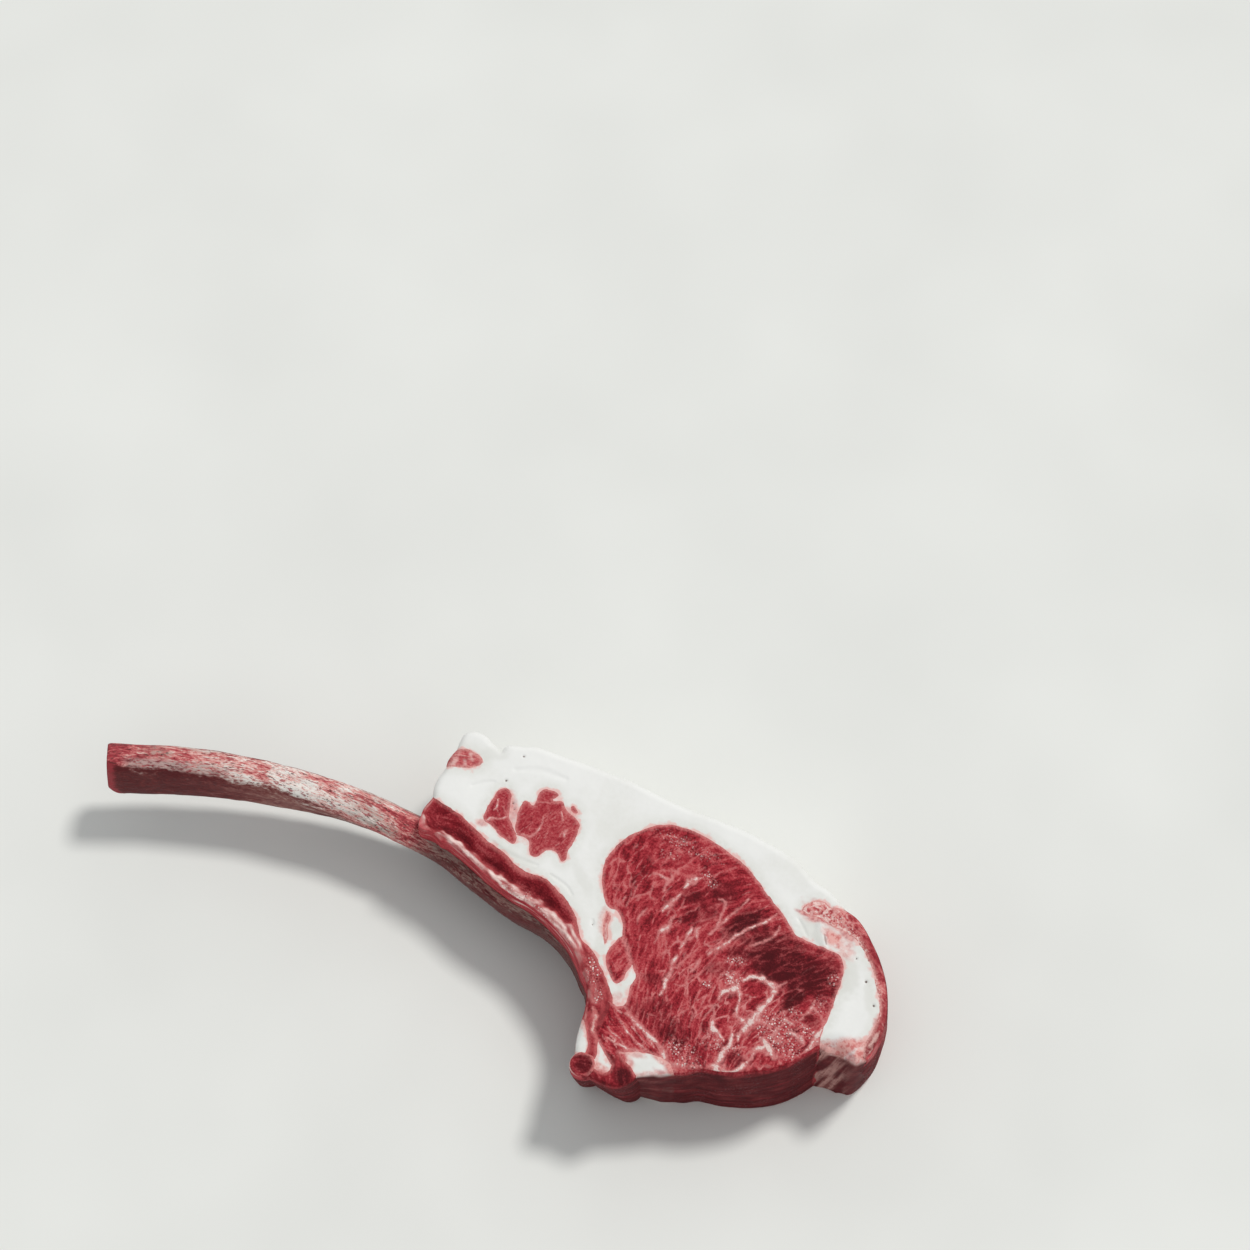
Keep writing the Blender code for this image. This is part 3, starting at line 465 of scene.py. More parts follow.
# Wet and grainy lean, where glints are also painted: the same four values.
WET_PATCHES = [
    ((53.2, -3.6), (4.2, 3.6), -20.0, 1.0),
    ((57.8, -2.2), (2.4, 1.2), -15.0, 0.9),
    ((55.2, -6.4), (3.6, 2.0), -20.0, 0.8),
    ((55.0, 0.9), (1.4, 0.8), 0.0, 0.7),
    ((37.2, 1.0), (1.25, 0.8), 15.0, 1.0),
    ((41.4, 3.8), (2.2, 1.4), 0.0, 0.8),
    ((40.6, 7.2), (2.2, 1.0), 10.0, 0.7),
    ((37.0, -13.4), (3.4, 2.0), -20.0, 0.8),
    ((38.4, -15.4), (2.8, 0.9), 5.0, 0.9),
    ((31.2, 21.8), (1.8, 1.1), -30.0, 0.7),
    ((24.6, 27.0), (7.0, 1.6), -8.0, 0.35),
    ((22.4, 24.0), (2.4, 0.9), -10.0, 0.45),
    ((41.6, -9.8), (2.4, 1.6), 0.0, 0.4),
    ((46.2, -9.6), (1.8, 1.2), 0.0, 0.6),
    ((59.4, 3.8), (1.6, 1.8), 0.0, 0.5),
    ((60.2, 9.8), (1.2, 1.6), 0.0, 0.5),
    ((56.6, 21.6), (3.4, 1.4), -20.0, 0.6),
    ((62.4, 17.4), (4.4, 1.5), -50.0, 0.9),
    ((68.6, 8.6), (1.2, 4.6), 14.0, 0.8),
    ((71.8, -1.4), (1.2, 2.0), 0.0, 0.3),
    ((2.6, 5.9), (5.6, 0.9), -38.0, 1.0),
    ((-4.6, 8.9), (3.6, 0.8), -22.0, 0.7),
    ((-13.0, 11.8), (4.6, 0.6), -22.0, 0.4),
    ((9.4, 0.8), (2.4, 0.8), -50.0, 0.9),
    ((15.6, -3.2), (3.4, 1.2), -60.0, 1.0),
    ((18.0, -7.0), (2.2, 1.0), -80.0, 0.6),
]
# Grooves and creases in the fat: half width, depth in mm, and the line.
CREASES = [
    (0.30, 0.18, [(1.5, 13.2), (3.6, 12.5), (5.4, 11.7), (6.8, 10.5)]),
    (0.40, 0.16, [(-19.0, 26.2), (-16.8, 27.6), (-15.2, 28.3)]),
    (0.60, 0.14, [(-12.0, 32.0), (-7.0, 33.4), (-2.0, 33.2)]),
    (0.45, 0.14, [(-11.5, 16.2), (-8.5, 14.9), (-5.2, 14.4), (-1.6, 14.2)]),
    (0.25, 0.25, [(12.2, 6.8), (12.6, 5.8)]),
    (0.30, 0.16, [(50.0, 19.4), (51.6, 17.8), (52.6, 16.6)]),
]
# A thin step of fat folded over beside the big muscle, and the shadow in it.
STEP_LINE = [(54.9, 19.6), (55.9, 17.8), (56.9, 15.8)]
STEP_SHADOW = [(55.8, 17.8), (56.2, 17.0), (56.7, 16.0)]
# Small pits in the fat: size and place.
PITS = [
    (0.22, (-13.0, 29.3)), (0.20, (-11.3, 35.2)), (0.26, (66.2, 11.1)), (0.24, (69.0, 6.9)),
    (0.18, (63.1, 15.0)), (0.20, (65.5, 15.4)), (0.14, (-10.2, 25.1)), (0.12, (-9.6, 24.0)),
    (0.14, (12.4, 6.0)),
]
# Folds hanging over the rim: x, y, size, how far out and how far down they hang.
FLAP_LUMPS = [
    (69.3, -4.7, 0.6, 1.1, 1.6),
    (66.4, -3.6, 1.4, 0.6, 2.4),
    (63.4, -3.3, 1.6, 0.7, 3.2),
    (72.2, -3.6, 1.5, 1.3, 4.0),
    (-25.6, 15.6, 1.5, 1.1, 6.0),
    (-20.8, 14.6, 1.3, 0.6, 5.0),
]
# Where blood and thin lean tint the fat: middle, radii, turn, strength.
BLUSH_PATCHES = [
    ((57.6, 17.6), (2.6, 1.5), -35.0, 0.9),
    ((66.4, -2.4), (4.4, 1.6), 24.0, 1.0),
    ((69.2, -3.0), (1.5, 1.4), 0.0, 1.0),
    ((68.8, -4.2), (1.3, 1.3), 0.0, 0.9),
    ((57.7, 17.7), (1.9, 1.6), -20.0, 1.0),
    ((27.4, -18.4), (1.5, 1.2), -50.0, 0.75),
    ((60.4, 16.4), (2.6, 1.6), -48.0, 0.6),
    ((62.8, -3.4), (1.8, 1.2), 0.0, 0.9),
    ((-14.6, 19.3), (1.3, 1.0), 0.0, 0.6),
    ((-11.4, 26.4), (1.4, 1.4), 0.0, 0.5),
    ((-9.4, 23.4), (0.9, 3.0), 15.0, 0.55),
    ((14.4, 7.4), (1.2, 3.2), 12.0, 0.5),
    ((1.4, 26.8), (1.8, 0.9), -20.0, 0.6),
    ((21.6, -7.0), (1.1, 1.6), 0.0, 0.5),
    ((36.2, -16.9), (1.7, 1.5), -20.0, 1.0),
    ((33.6, -16.2), (2.4, 0.7), -15.0, 0.8),
    ((32.6, -19.4), (3.0, 0.7), 20.0, 0.6),
    ((28.2, -16.6), (2.4, 0.7), 5.0, 0.6),
    ((22.2, -21.2), (2.2, 0.9), 0.0, 0.8),
    ((17.2, -13.4), (0.8, 1.6), 0.0, 0.7),
    ((52.0, 20.2), (2.0, 0.9), 0.0, 0.3),
]
# Where lean shows through the fat: the same four values.
MEAT_PATCHES = [
    ((54.6, 21.9), (3.9, 1.9), -14.0, 0.95),
    ((59.6, 19.6), (2.6, 1.0), -42.0, 0.7),
    ((37.2, -16.8), (1.1, 1.8), -20.0, 0.9),
    ((34.6, -15.6), (1.6, 0.6), -25.0, 0.5),
    ((23.6, -22.2), (1.6, 0.8), 10.0, 0.7),
    ((-9.6, 23.8), (0.8, 2.4), 15.0, 0.4),
    ((-14.6, 19.3), (1.0, 0.7), 0.0, 0.4),
    ((50.6, 20.8), (1.6, 0.45), -5.0, 0.7),
    ((52.2, 23.2), (1.6, 0.7), 30.0, 0.8),
    ((53.4, 20.2), (1.6, 0.5), 10.0, 0.7),
    ((70.6, 3.4), (0.8, 1.6), 20.0, 0.5),
    ((63.4, -4.1), (2.8, 0.8), 8.0, 0.85),
    ((67.0, -4.2), (1.2, 0.5), 20.0, 0.7),
    ((26.2, -18.0), (1.4, 1.1), -60.0, 1.0),
    ((71.4, 0.2), (3.0, 1.0), 74.0, 1.0),
    ((71.6, -3.4), (1.5, 1.3), 0.0, 1.0),
    ((37.4, -17.4), (2.2, 1.5), -10.0, 0.95),
    ((35.2, -18.8), (2.4, 0.6), -12.0, 0.6),
]
# Painted shade on the fat, greyer: the same four values.
SHADE_PATCHES = [
    ((62.6, 11.0), (2.4, 4.2), 20.0, 0.8),
    ((53.4, 17.8), (3.0, 1.3), -25.0, 0.8),
    ((-7.0, 14.6), (6.0, 1.3), -15.0, 0.6),
    ((15.8, 0.6), (1.2, 3.4), 20.0, 0.6),
    ((17.0, 6.8), (0.9, 2.4), -20.0, 0.7),
    ((8.0, 14.0), (3.8, 1.2), -50.0, 0.5),
    ((-17.0, 34.0), (3.0, 1.4), 20.0, 0.5),
    ((67.6, 8.2), (1.0, 3.6), 20.0, 0.6),
    ((22.0, -5.4), (1.2, 1.6), 0.0, 0.5),
    ((31.6, -18.2), (2.4, 1.0), 15.0, 0.4),
]
# The patches by the mask they make, each with the seed of its broken edges.
PATCHES = {
    "dark": (41, DARK_PATCHES), "wet": (43, WET_PATCHES), "blush": (45, BLUSH_PATCHES),
    "mesh": (47, MESH_PATCHES), "grey": (49, SHADE_PATCHES), "meat": (57, MEAT_PATCHES),
}
# Where a patch is full and where it ends, against its radii.
PATCH_FULL, PATCH_END = 0.55, 1.35
# Fibres of the big muscle: their turn in degrees at a middle place, the slope they have
# there against that turn, and how it grows along and across them.
FIBRE_MIDDLE = np.array([30.0, 2.0])
FIBRE_TURN = math.radians(75.0)
FIBRE_SLOPE, FIBRE_BEND, FIBRE_SPREAD = -0.15, 0.030, 0.015
FIBRE_TURNS = {
    "chine_muscle": -40.0, "inner_muscle": 75.0, "side_muscle_left": -35.0,
    "side_muscle_right": 65.0, "tail_strip": 12.0, "outer_layer": -40.0,
    "pink_sliver": 100.0, "chine_end": -60.0, "side_muscle_bit": 20.0, "chine_knob": 0.0,
}
# Lean looks: tones from dark to light, a dark zone's colour, a vein's and its middle's, and
# what else differs: how strong the network of seams is, and how fine the fibres are each way.
LEAN_LOOKS = {
    "lean": (
        ((100, 17, 26), (132, 27, 37), (159, 42, 52), (177, 61, 68), (198, 98, 99)),
        (74, 14, 20), (212, 134, 132), (234, 208, 202), {},
    ),
    "dark_lean": (
        ((96, 18, 26), (116, 22, 32), (136, 31, 40), (156, 46, 54), (184, 82, 86)),
        (74, 14, 20), (204, 118, 116), (226, 188, 180),
        {"network": 0.4, "streaks": (1.2, 0.16, 0.9)},
    ),
    "pale_lean": (
        ((130, 36, 45), (154, 50, 58), (178, 72, 77), (204, 112, 111), (222, 158, 152)),
        (128, 30, 40), (228, 180, 172), (234, 216, 210), {},
    ),
    "marrow": (
        ((104, 18, 28), (126, 28, 38), (150, 44, 52), (172, 66, 72), (196, 100, 100)),
        (86, 14, 22), (214, 136, 132), (230, 196, 188), {"network": 0.3},
    ),
    "fine_lean": (
        ((130, 28, 38), (148, 38, 48), (164, 50, 59), (175, 66, 72), (194, 100, 100)),
        (110, 22, 32), (212, 134, 132), (234, 208, 202),
        {"network": 0.55, "streaks": (2.4, 1.2, 0.8)},
    ),
}
# Colours on the lean: membrane from thin to thick, flesh, the wall's blood and painted shade, and
# wet grain with painted glints.
LEAN_SKIN = ((200, 98, 99), (250, 226, 218))
LEAN_FLESH = ((178, 46, 56), (226, 88, 96))
LEAN_WALL = [(0.36, (78, 17, 23)), (0.50, (94, 24, 30)), (0.66, (118, 44, 46))]
GRAIN_GAP, PALE_GRAIN_AND_GLINT = (108, 22, 32), (246, 232, 226)
# Colours of the fat, its painted shade, blood, film, shreds of lean, pits and painted shadow.
FAT_TONES = [(0.30, (226, 226, 221)), (0.48, (233, 233, 230)), (0.68, (237, 237, 234))]
FAT_BESIDE_LEAN, FAT_PAINTED_SHADE, FAT_PINK, FAT_PIT_AND_SHADOW = (
    (219, 219, 213), (212, 212, 205), (230, 168, 162), (92, 60, 54))
FAT_FLUSH = ((229, 172, 165), (208, 124, 120))
FAT_FILM = ((134, 76, 73), (204, 154, 146))
SHRED = [(0.38, (158, 54, 62)), (0.48, (190, 92, 94)), (0.56, (218, 148, 143))]
DEEP_SHRED = [(0.40, (108, 22, 32)), (0.50, (142, 36, 46)), (0.60, (192, 90, 92))]
# Colours of the rib: above; at its side and beneath, as painted shade; inside the meat; and at
# the sawn end.
BONE_TONES = [
    (0.32, (128, 36, 44)), (0.41, (176, 70, 76)), (0.48, (208, 126, 122)),
    (0.55, (228, 184, 176)), (0.63, (240, 234, 227)),
]
BONE_SHADE = [
    (0.38, (92, 24, 28)), (0.50, (116, 46, 46)), (0.60, (146, 92, 86)), (0.74, (184, 146, 136)),
]
BONE_BARE = [(0.40, (82, 34, 34)), (0.52, (116, 76, 71)), (0.64, (146, 118, 109))]
# Among these, a painted highlight for the rib's edge near the cut end.
BONE_GREY, BONE_RED, BONE_FLECK, BONE_EDGE_HIGHLIGHT = (
    (158, 138, 128), (158, 44, 54), (74, 40, 38), (190, 168, 162))
# Painted shade for the rib's lowest side, and for its lower side inside the meat.
BONE_LOW_SHADE, BONE_SAWN, BONE_INNER_SHADE = (84, 24, 30), (170, 60, 68), (84, 26, 28)
MARROW = [(0.35, (70, 20, 24)), (0.52, (116, 36, 42)), (0.68, (168, 84, 82))]
SHELL = ((150, 60, 62), (214, 160, 150))
FLOOR_TONES = [(0.3, (226, 227, 223)), (0.7, (232, 233, 229))]
LOOK_OF_SLOT = {
    "fat": "fat", "muscle": "lean", "dark_muscle": "dark_lean", "pale_muscle": "pale_lean",
    "marrow": "marrow",
}
# Scattered pale flecks along the fibres of a muscle: how many, shortest and longest,
# half widths, and strengths. Each is turned from the fibres by up to half of a spread.
FLECK_SPREAD = 28
FLECKS = {
    "eye_muscle": (330, (1.0, 4.6), (0.13, 0.34), (0.12, 0.44)),
    "inner_muscle": (12, (0.8, 2.4), (0.10, 0.24), (0.2, 0.5)),
    "side_muscle_left": (26, (0.8, 2.6), (0.08, 0.16), (0.25, 0.55)),
    "side_muscle_right": (70, (0.7, 2.4), (0.08, 0.16), (0.25, 0.55)),
    "chine_muscle": (26, (1.2, 3.6), (0.08, 0.16), (0.3, 0.8)),
    "tail_strip": (16, (1.0, 3.0), (0.12, 0.3), (0.3, 0.7)),
}

# ---------------------------------------------------------------- numbers and noise

RANDOM = np.random.default_rng(20)
NOISE_CELLS = 256
SHUFFLE = RANDOM.permutation(NOISE_CELLS)
SLOPES = RANDOM.normal(size=(NOISE_CELLS, 3))
SLOPES /= np.linalg.norm(SLOPES, axis=1)[:, None]
SEED_SHIFT = np.array([17.31, 5.13, 9.77])


def smoothstep(value):
    value = np.clip(value, 0.0, 1.0)
    return value * value * (3 - 2 * value)


def fade(value, start, end):
    """0 up to the start, 1 from the end on, and eased between; the end may be the smaller."""
    return smoothstep((value - start) / (end - start))


def bell(*gaps):
    """1 where all gaps are 0, and falling off round it."""
    return np.exp(-sum(gap**2 for gap in gaps))


def side_by_side(*columns):
    """An array of these columns, where a number or a shorter array fills its column."""
    return np.column_stack(np.broadcast_arrays(*columns))


def noise(points, seed=0):
    """Smooth noise, about -1 to 1, at each point of an array of three columns."""
    points = points + seed * SEED_SHIFT
    cell = np.floor(points).astype(np.int64)
    local = points - cell
    ease = local**3 * (local * (local * 6 - 15) + 10)
    total = np.zeros(len(points))
    for corner in itertools.product((0, 1), repeat=3):
        index = 0
        for axis in range(3):
            index = SHUFFLE[(index + cell[:, axis] + corner[axis]) % NOISE_CELLS]
        value = np.sum(SLOPES[index] * (local - corner), axis=1)
        total += value * np.prod(np.where(corner, ease, 1 - ease), axis=1)
    return total * 1.5


def plan_noise(plan, size, seed):
    """Noise over the plan, its lumps about as wide as the size in mm."""
    return noise(side_by_side(plan[:, 0] / size, plan[:, 1] / size, 0.0), seed)


def smooth_line(points, closed=False, step=OUTLINE_STEP):
    """A smooth curve through the points, as many close points."""
    knots = np.array(points, float)
    if closed:
        before, after = knots[-1:], knots[:2]
    else:
        before, after = 2 * knots[:1] - knots[1:2], 2 * knots[-1:] - knots[-2:-1]
    knots = np.concatenate([before, knots, after])
    line = []
    for a, b, c, d in zip(knots, knots[1:], knots[2:], knots[3:]):
        count = max(2, math.ceil(np.linalg.norm(c - b) / step))
        for t in np.arange(count) / count:
            line.append(
                0.5 * (2 * b + (c - a) * t + (2 * a - 5 * b + 4 * c - d) * t**2
                       + (3 * b - a - 3 * c + d) * t**3)
            )
    if not closed:
        line.append(knots[-2])
    return np.array(line)


def outline_of(arc_names):
    """Arcs put end to end; a minus sign before a name turns that arc round."""
    points = []
    for name in arc_names.split():
        arc = smooth_line(ARCS[name.strip("-")])
        points.extend(arc[::-1][:-1] if name.startswith("-") else arc[:-1])
    return np.array(points)


class Track:
    """A line in the plan that tells how far points are from it and where along it."""

    def __init__(self, points, closed):
        self.points, self.closed = points, closed
        after = np.roll(points, -1, axis=0)
        self.ahead = after - points if closed else np.vstack([np.diff(points, axis=0), [[0, 0]]])
        lengths = np.linalg.norm(self.ahead, axis=1)
        self.run = np.concatenate([[0], np.cumsum(lengths)[:-1]])
        self.tree = tree_of(points)

    def nearest(self, places):
        """Distance, run along the line and foot point for each place."""
        index = np.array([self.tree.find((x, y, 0.0))[1] for x, y in places])
        best = np.full(len(places), 1e9)
        run, foot = np.zeros(len(places)), np.zeros((len(places), 2))
        for back in (0, 1):
            i = index - back
            i = i % len(self.points) if self.closed else np.clip(i, 0, len(self.points) - 2)
            ahead = self.ahead[i]
            size = np.maximum(np.sum(ahead * ahead, axis=1), 1e-12)
            t = np.clip(np.sum((places - self.points[i]) * ahead, axis=1) / size, 0, 1)
            at = self.points[i] + ahead * t[:, None]
            away = np.linalg.norm(places - at, axis=1)
            closer = away < best
            best = np.where(closer, away, best)
            run = np.where(closer, self.run[i] + t * np.sqrt(size), run)
            foot = np.where(closer[:, None], at, foot)
        return best, run, foot


def tree_of(points):
    """A search tree over points of the plan."""
    tree = KDTree(len(points))
    for i, (x, y) in enumerate(points):
        tree.insert((x, y, 0.0), i)
    tree.balance()
    return tree


def border_distance(points, edges):
    """Distance from each point to the nearest one on these edges."""
    tree = tree_of(points[np.unique(edges)])
    return np.array([tree.find((x, y, 0.0))[2] for x, y in points])


def inside(outline, places):
    """Which places lie inside the closed outline."""
    found = np.zeros(len(places), bool)
    low, high = outline.min(axis=0), outline.max(axis=0)
    near = np.flatnonzero(np.all((places >= low) & (places <= high), axis=1))
    if not len(near):
        return found
    after = np.roll(outline, -1, axis=0)
    for part in np.array_split(near, max(1, len(near) * len(outline) // 4_000_000 + 1)):
        x, y = places[part, 0][:, None], places[part, 1][:, None]
        crosses = (outline[:, 1] > y) != (after[:, 1] > y)
        rise = np.where(after[:, 1] == outline[:, 1], 1e-12, after[:, 1] - outline[:, 1])
        at = outline[:, 0] + (y - outline[:, 1]) * (after[:, 0] - outline[:, 0]) / rise
        found[part] = np.sum(crosses & (x < at), axis=1) % 2 == 1
    return found


OUTLINES = {name: outline_of(arcs) for name, arcs in PIECES.items()}
OUTLINES.update({name: smooth_line(points, closed=True) for name, points in ISLANDS.items()})
BODY_OUTLINE = outline_of(OUTSIDE)[::-1]
BODY = Track(BODY_OUTLINE, closed=True)
LOWER = Track(outline_of(LOWER_ARCS), closed=False)


def ragged(places, depth):
    """Inner boundaries wander a little; the outline itself stays."""
    wander = [
        0.22 * plan_noise(places, 1.9, seed) + 0.08 * plan_noise(places, 0.7, seed + 1)
        for seed in (1, 5)
    ]
    return places + side_by_side(*wander) * fade(depth, 0.0, 3.0)[:, None]


def label_at(places):
    """The index in LABELS of the piece at each place, or -1 outside the chop."""
    away, _, _ = BODY.nearest(places)
    depth = np.where(inside(BODY_OUTLINE, places), away, -away)
    moved = ragged(places, depth)
    label = np.where(depth > EDGE_INSET, 0, -1)
    for i, name in enumerate(LABELS[1:], 1):
        label[(label >= 0) & inside(OUTLINES[name], moved)] = i
    return label


def is_fat(label):
    return np.isin(label, [LABELS.index(name) for name in FAT_PIECES])


# ---------------------------------------------------------------- the lattice

def edges_along(triangles):
    """Every triangle's three directed edges, all first edges before all second ones."""
    return np.concatenate([triangles[:, [0, 1]], triangles[:, [1, 2]], triangles[:, [2, 0]]])


def even_lattice():
    """Points in staggered rows over the whole chop, and the triangles between them."""
    low = BODY_OUTLINE.min(axis=0) - 2 * LATTICE
    high = BODY_OUTLINE.max(axis=0) + 2 * LATTICE
    row_step = LATTICE * math.sqrt(3) / 2
    columns = int((high[0] - low[0]) / LATTICE) + 1
    rows = int((high[1] - low[1]) / row_step) + 1
    column, row = np.meshgrid(np.arange(columns), np.arange(rows))
    places = np.column_stack([
        low[0] + LATTICE * (column.ravel() + 0.5 * (row.ravel() % 2)),
        low[1] + row_step * row.ravel(),
    ])
    here = (row * columns + column)[:-1, :-1].ravel()
    odd = (row[:-1, :-1] % 2).ravel().astype(bool)[:, None]
    right, above, both = here + 1, here + columns, here + columns + 1
    pairs = (
        ((here, right, both), (here, right, above)),
        ((here, both, above), (right, both, above)),
    )
    triangles = [np.where(odd, np.column_stack(a), np.column_stack(b)) for a, b in pairs]
    return places, np.concatenate(triangles)


def lattice():
    """Points and triangles over the chop, with points moved onto every boundary line."""
    places, triangles = even_lattice()
    label = label_at(places)

    ends = np.unique(np.sort(edges_along(triangles), axis=1), axis=0)
    ends = ends[label[ends[:, 0]] != label[ends[:, 1]]]
    start, stop = places[ends[:, 0]], places[ends[:, 1]]
    low_share, high_share = np.zeros(len(ends)), np.ones(len(ends))
    for _ in range(BORDER_HALVINGS):
        middle = (low_share + high_share) / 2
        same = label_at(start + (stop - start) * middle[:, None]) == label[ends[:, 0]]
        low_share = np.where(same, middle, low_share)
        high_share = np.where(same, high_share, middle)
    share = (low_share + high_share) / 2
    crossing = start + (stop - start) * share[:, None]
    nearer = np.where(share < 0.5, ends[:, 0], ends[:, 1])
    order = np.argsort(-np.minimum(share, 1 - share))
    moved = places.copy()
    snapped = np.zeros(len(places), bool)
    moved[nearer[order]] = crossing[order]
    snapped[nearer[order]] = True

    corner = label[triangles]
    mixed = snapped[triangles].any(axis=1) | (corner.min(axis=1) != corner.max(axis=1))
    triangle_label = corner[:, 0].copy()
    triangle_label[mixed] = label_at(moved[triangles[mixed]].mean(axis=1))
    kept = triangle_label >= 0
    triangles, triangle_label = triangles[kept], triangle_label[kept]
    used, triangles = np.unique(triangles, return_inverse=True)
    return moved[used], triangles.reshape(-1, 3), triangle_label


def across_edges(triangles):
    """Every directed edge with its triangle, and for each the triangle across it or -1."""
    edges = edges_along(triangles)
    owner = np.tile(np.arange(len(triangles)), 3)
    size = triangles.max() + 1
    key = edges[:, 0] * size + edges[:, 1]
    back = edges[:, 1] * size + edges[:, 0]
    order = np.argsort(key)
    found = np.searchsorted(key[order], back)
    match = order[np.minimum(found, len(key) - 1)]
    return edges, owner, np.where(key[match] == back, owner[match], -1)


def one_loop(edges):
    """The order that puts directed boundary edges end to end: the longest closed run."""
    following = {}
    for i, (a, _) in enumerate(edges):
        following.setdefault(a, []).append(i)
    loops, left = [], set(range(len(edges)))
    while left:
        loop = [left.pop()]
        while True:
            choices = [j for j in following.get(edges[loop[-1]][1], []) if j in left]
            if not choices:
                break
            left.discard(choices[0])
            loop.append(choices[0])
        loops.append(loop)
    return max(loops, key=len)


# ---------------------------------------------------------------- the chop's skin

def rounding_at(places):
    """Radius of the upper rim: fuller on fat, tighter on lean and along the chine."""
    x, y = places[:, 0], places[:, 1]
    chine = fade(x, 24, 29) * fade(y, 2.0, -2.0) * fade(x, 63.0, 60.0)
    line = np.interp(x, *RIB_SIDE_LINE)
    along_rib = fade(line - y, 0, 3) * fade(x, 17.5, 15.5) * fade(y, -14, -10)
    sheet = bell((x - 64.4) / 2.6) * fade(y, 1.0, -2.0)
    far_end = bell((y + 1.2) / 3.4) * fade(x, 68.6, 70.1)
    radius = RIM_RADIUS - 0.75 * chine - 0.6 * along_rib + 1.8 * sheet + 1.6 * far_end
    return radius + 0.12 * plan_noise(places, 6.0, 9)


def drop_at(depth, radius):
    """How far the rounded rim lies under the cut face at this distance in from the outline."""
    across = np.clip(radius - depth, 0, radius)
    return radius - np.sqrt(np.maximum(radius**2 - across**2, 0))


def undercut(plan, height):
    """Plan points moved in under the rib side, and in and out along the chine."""
    depth = np.clip(1 - height / THICKNESS, 0, 1)
    away, _, _ = LOWER.nearest(plan)
    chine = fade(plan[:, 0], 12.0, 18.0)
    profile = chine * depth + (1 - chine) * fade(depth, 0.5, 1.0)
    moved = plan.copy()
    moved[:, 1] += np.interp(plan[:, 0], *UNDERCUT) * profile * fade(away, UNDERCUT_REACH, 0)
    return moved


def near_line(places, line):
    """The places close to a line, how far each is from it, and how far along, 0 to 1."""
    low, high = line.min(axis=0) - 3, line.max(axis=0) + 3
    near = np.flatnonzero(np.all((places > low) & (places < high), axis=1))
    start, ahead = line[:-1], np.diff(line, axis=0)
    size = np.maximum(np.sum(ahead * ahead, axis=1), 1e-9)
    gap = places[near][:, None, :] - start[None]
    t = np.clip(np.sum(gap * ahead[None], axis=2) / size, 0, 1)
    away = np.linalg.norm(gap - ahead[None] * t[..., None], axis=2)
    which = np.argmin(away, axis=1) if len(near) else np.zeros(0, int)
    row = np.arange(len(near))
    return near, away[row, which], (which + t[row, which]) / len(start)


def stroke(places, half_width, points, soft=1.0):
    """1 on the line, falling to 0 just outside its half width."""
    near, away, share = near_line(places, smooth_line(points, step=STROKE_STEP))
    value = np.zeros(len(places))
    taper = 0.55 + 0.45 * np.sin(np.pi * np.clip(share, 0.08, 0.92))
    width = half_width * taper
    value[near] = 1 - smoothstep((away - width * (1 - soft)) / (width * 2 * soft))
    return value


def vein_at(places, points, swell):
    """1 along a line whose points carry a half width, fading out well beyond that width."""
    line = smooth_line(points, step=STROKE_STEP)
    near, away, share = near_line(places, line[:, :2])
    width = np.interp(share, np.linspace(0, 1, len(line)), line[:, 2]) * swell[near]
    value = np.zeros(len(places))
    core = np.exp(-0.8 * (away / width) ** 1.6)
    value[near] = np.maximum(core, 0.26 * bell(away / (2.6 * width)))
    return value


def turned(gap, angle):
    """Plan gaps as distances along a direction, given by its angle, and to its left."""
    cos, sin = math.cos(angle), math.sin(angle)
    return gap[:, 0] * cos + gap[:, 1] * sin, gap[:, 1] * cos - gap[:, 0] * sin


def eye_fibres(places):
    """Across and along coordinates in the big muscle, and the fibres' turn in radians."""
    along, left = turned(places - FIBRE_MIDDLE, FIBRE_TURN)
    bent = -left - FIBRE_SLOPE * along - FIBRE_BEND * along**2 / 2
    bent = bent + FIBRE_SPREAD * left * along
    slope = (FIBRE_SLOPE + FIBRE_BEND * along - FIBRE_SPREAD * left)
    slope = slope / (1 - FIBRE_SPREAD * along)
    return bent, along, FIBRE_TURN - np.arctan(slope)


def fleck_lines(name, random):
    """Short lines along a muscle's fibres, at random inside its outline."""
    count, lengths, widths, strengths = FLECKS[name]
    outline = OUTLINES[name]
    low, high = outline.min(axis=0), outline.max(axis=0)
    lines = []
    while len(lines) < count:
        middle = random.uniform(low, high)
        share, width, strength, bow, turn = random.random(5)
        if not inside(outline, middle[None])[0]:
            continue
        if name in FIBRE_TURNS:
            angle = math.radians(FIBRE_TURNS[name])
        else:
            angle = float(eye_fibres(middle[None])[2][0])
        angle += math.radians(FLECK_SPREAD * (turn - 0.5))
        length = np.interp(share**2, (0, 1), lengths)
        ahead = np.array([math.cos(angle), math.sin(angle)]) * length / 2
        sideways = np.array([-ahead[1], ahead[0]]) * 0.5 * (bow - 0.5)
        lines.append((
            np.interp(width**2, (0, 1), widths), np.interp(strength**2, (0, 1), strengths),
            [middle - ahead, middle + sideways, middle + ahead],
        ))
    return lines


def patches(places, mask):
    """A mask's soft oval patches with broken edges, the strongest at each place."""
    seed, listed = PATCHES[mask]
    value = np.zeros(len(places))
    broken = 0.28 * plan_noise(places, 1.6, seed) + 0.16 * plan_noise(places, 0.7, seed + 1)
    for middle, radii, turn, strength in listed:
        along, across = turned(places - middle, math.radians(turn))
        reach = np.hypot(along / radii[0], across / radii[1]) + broken
        value = np.maximum(value, strength * fade(reach, PATCH_END, PATCH_FULL))
    return value


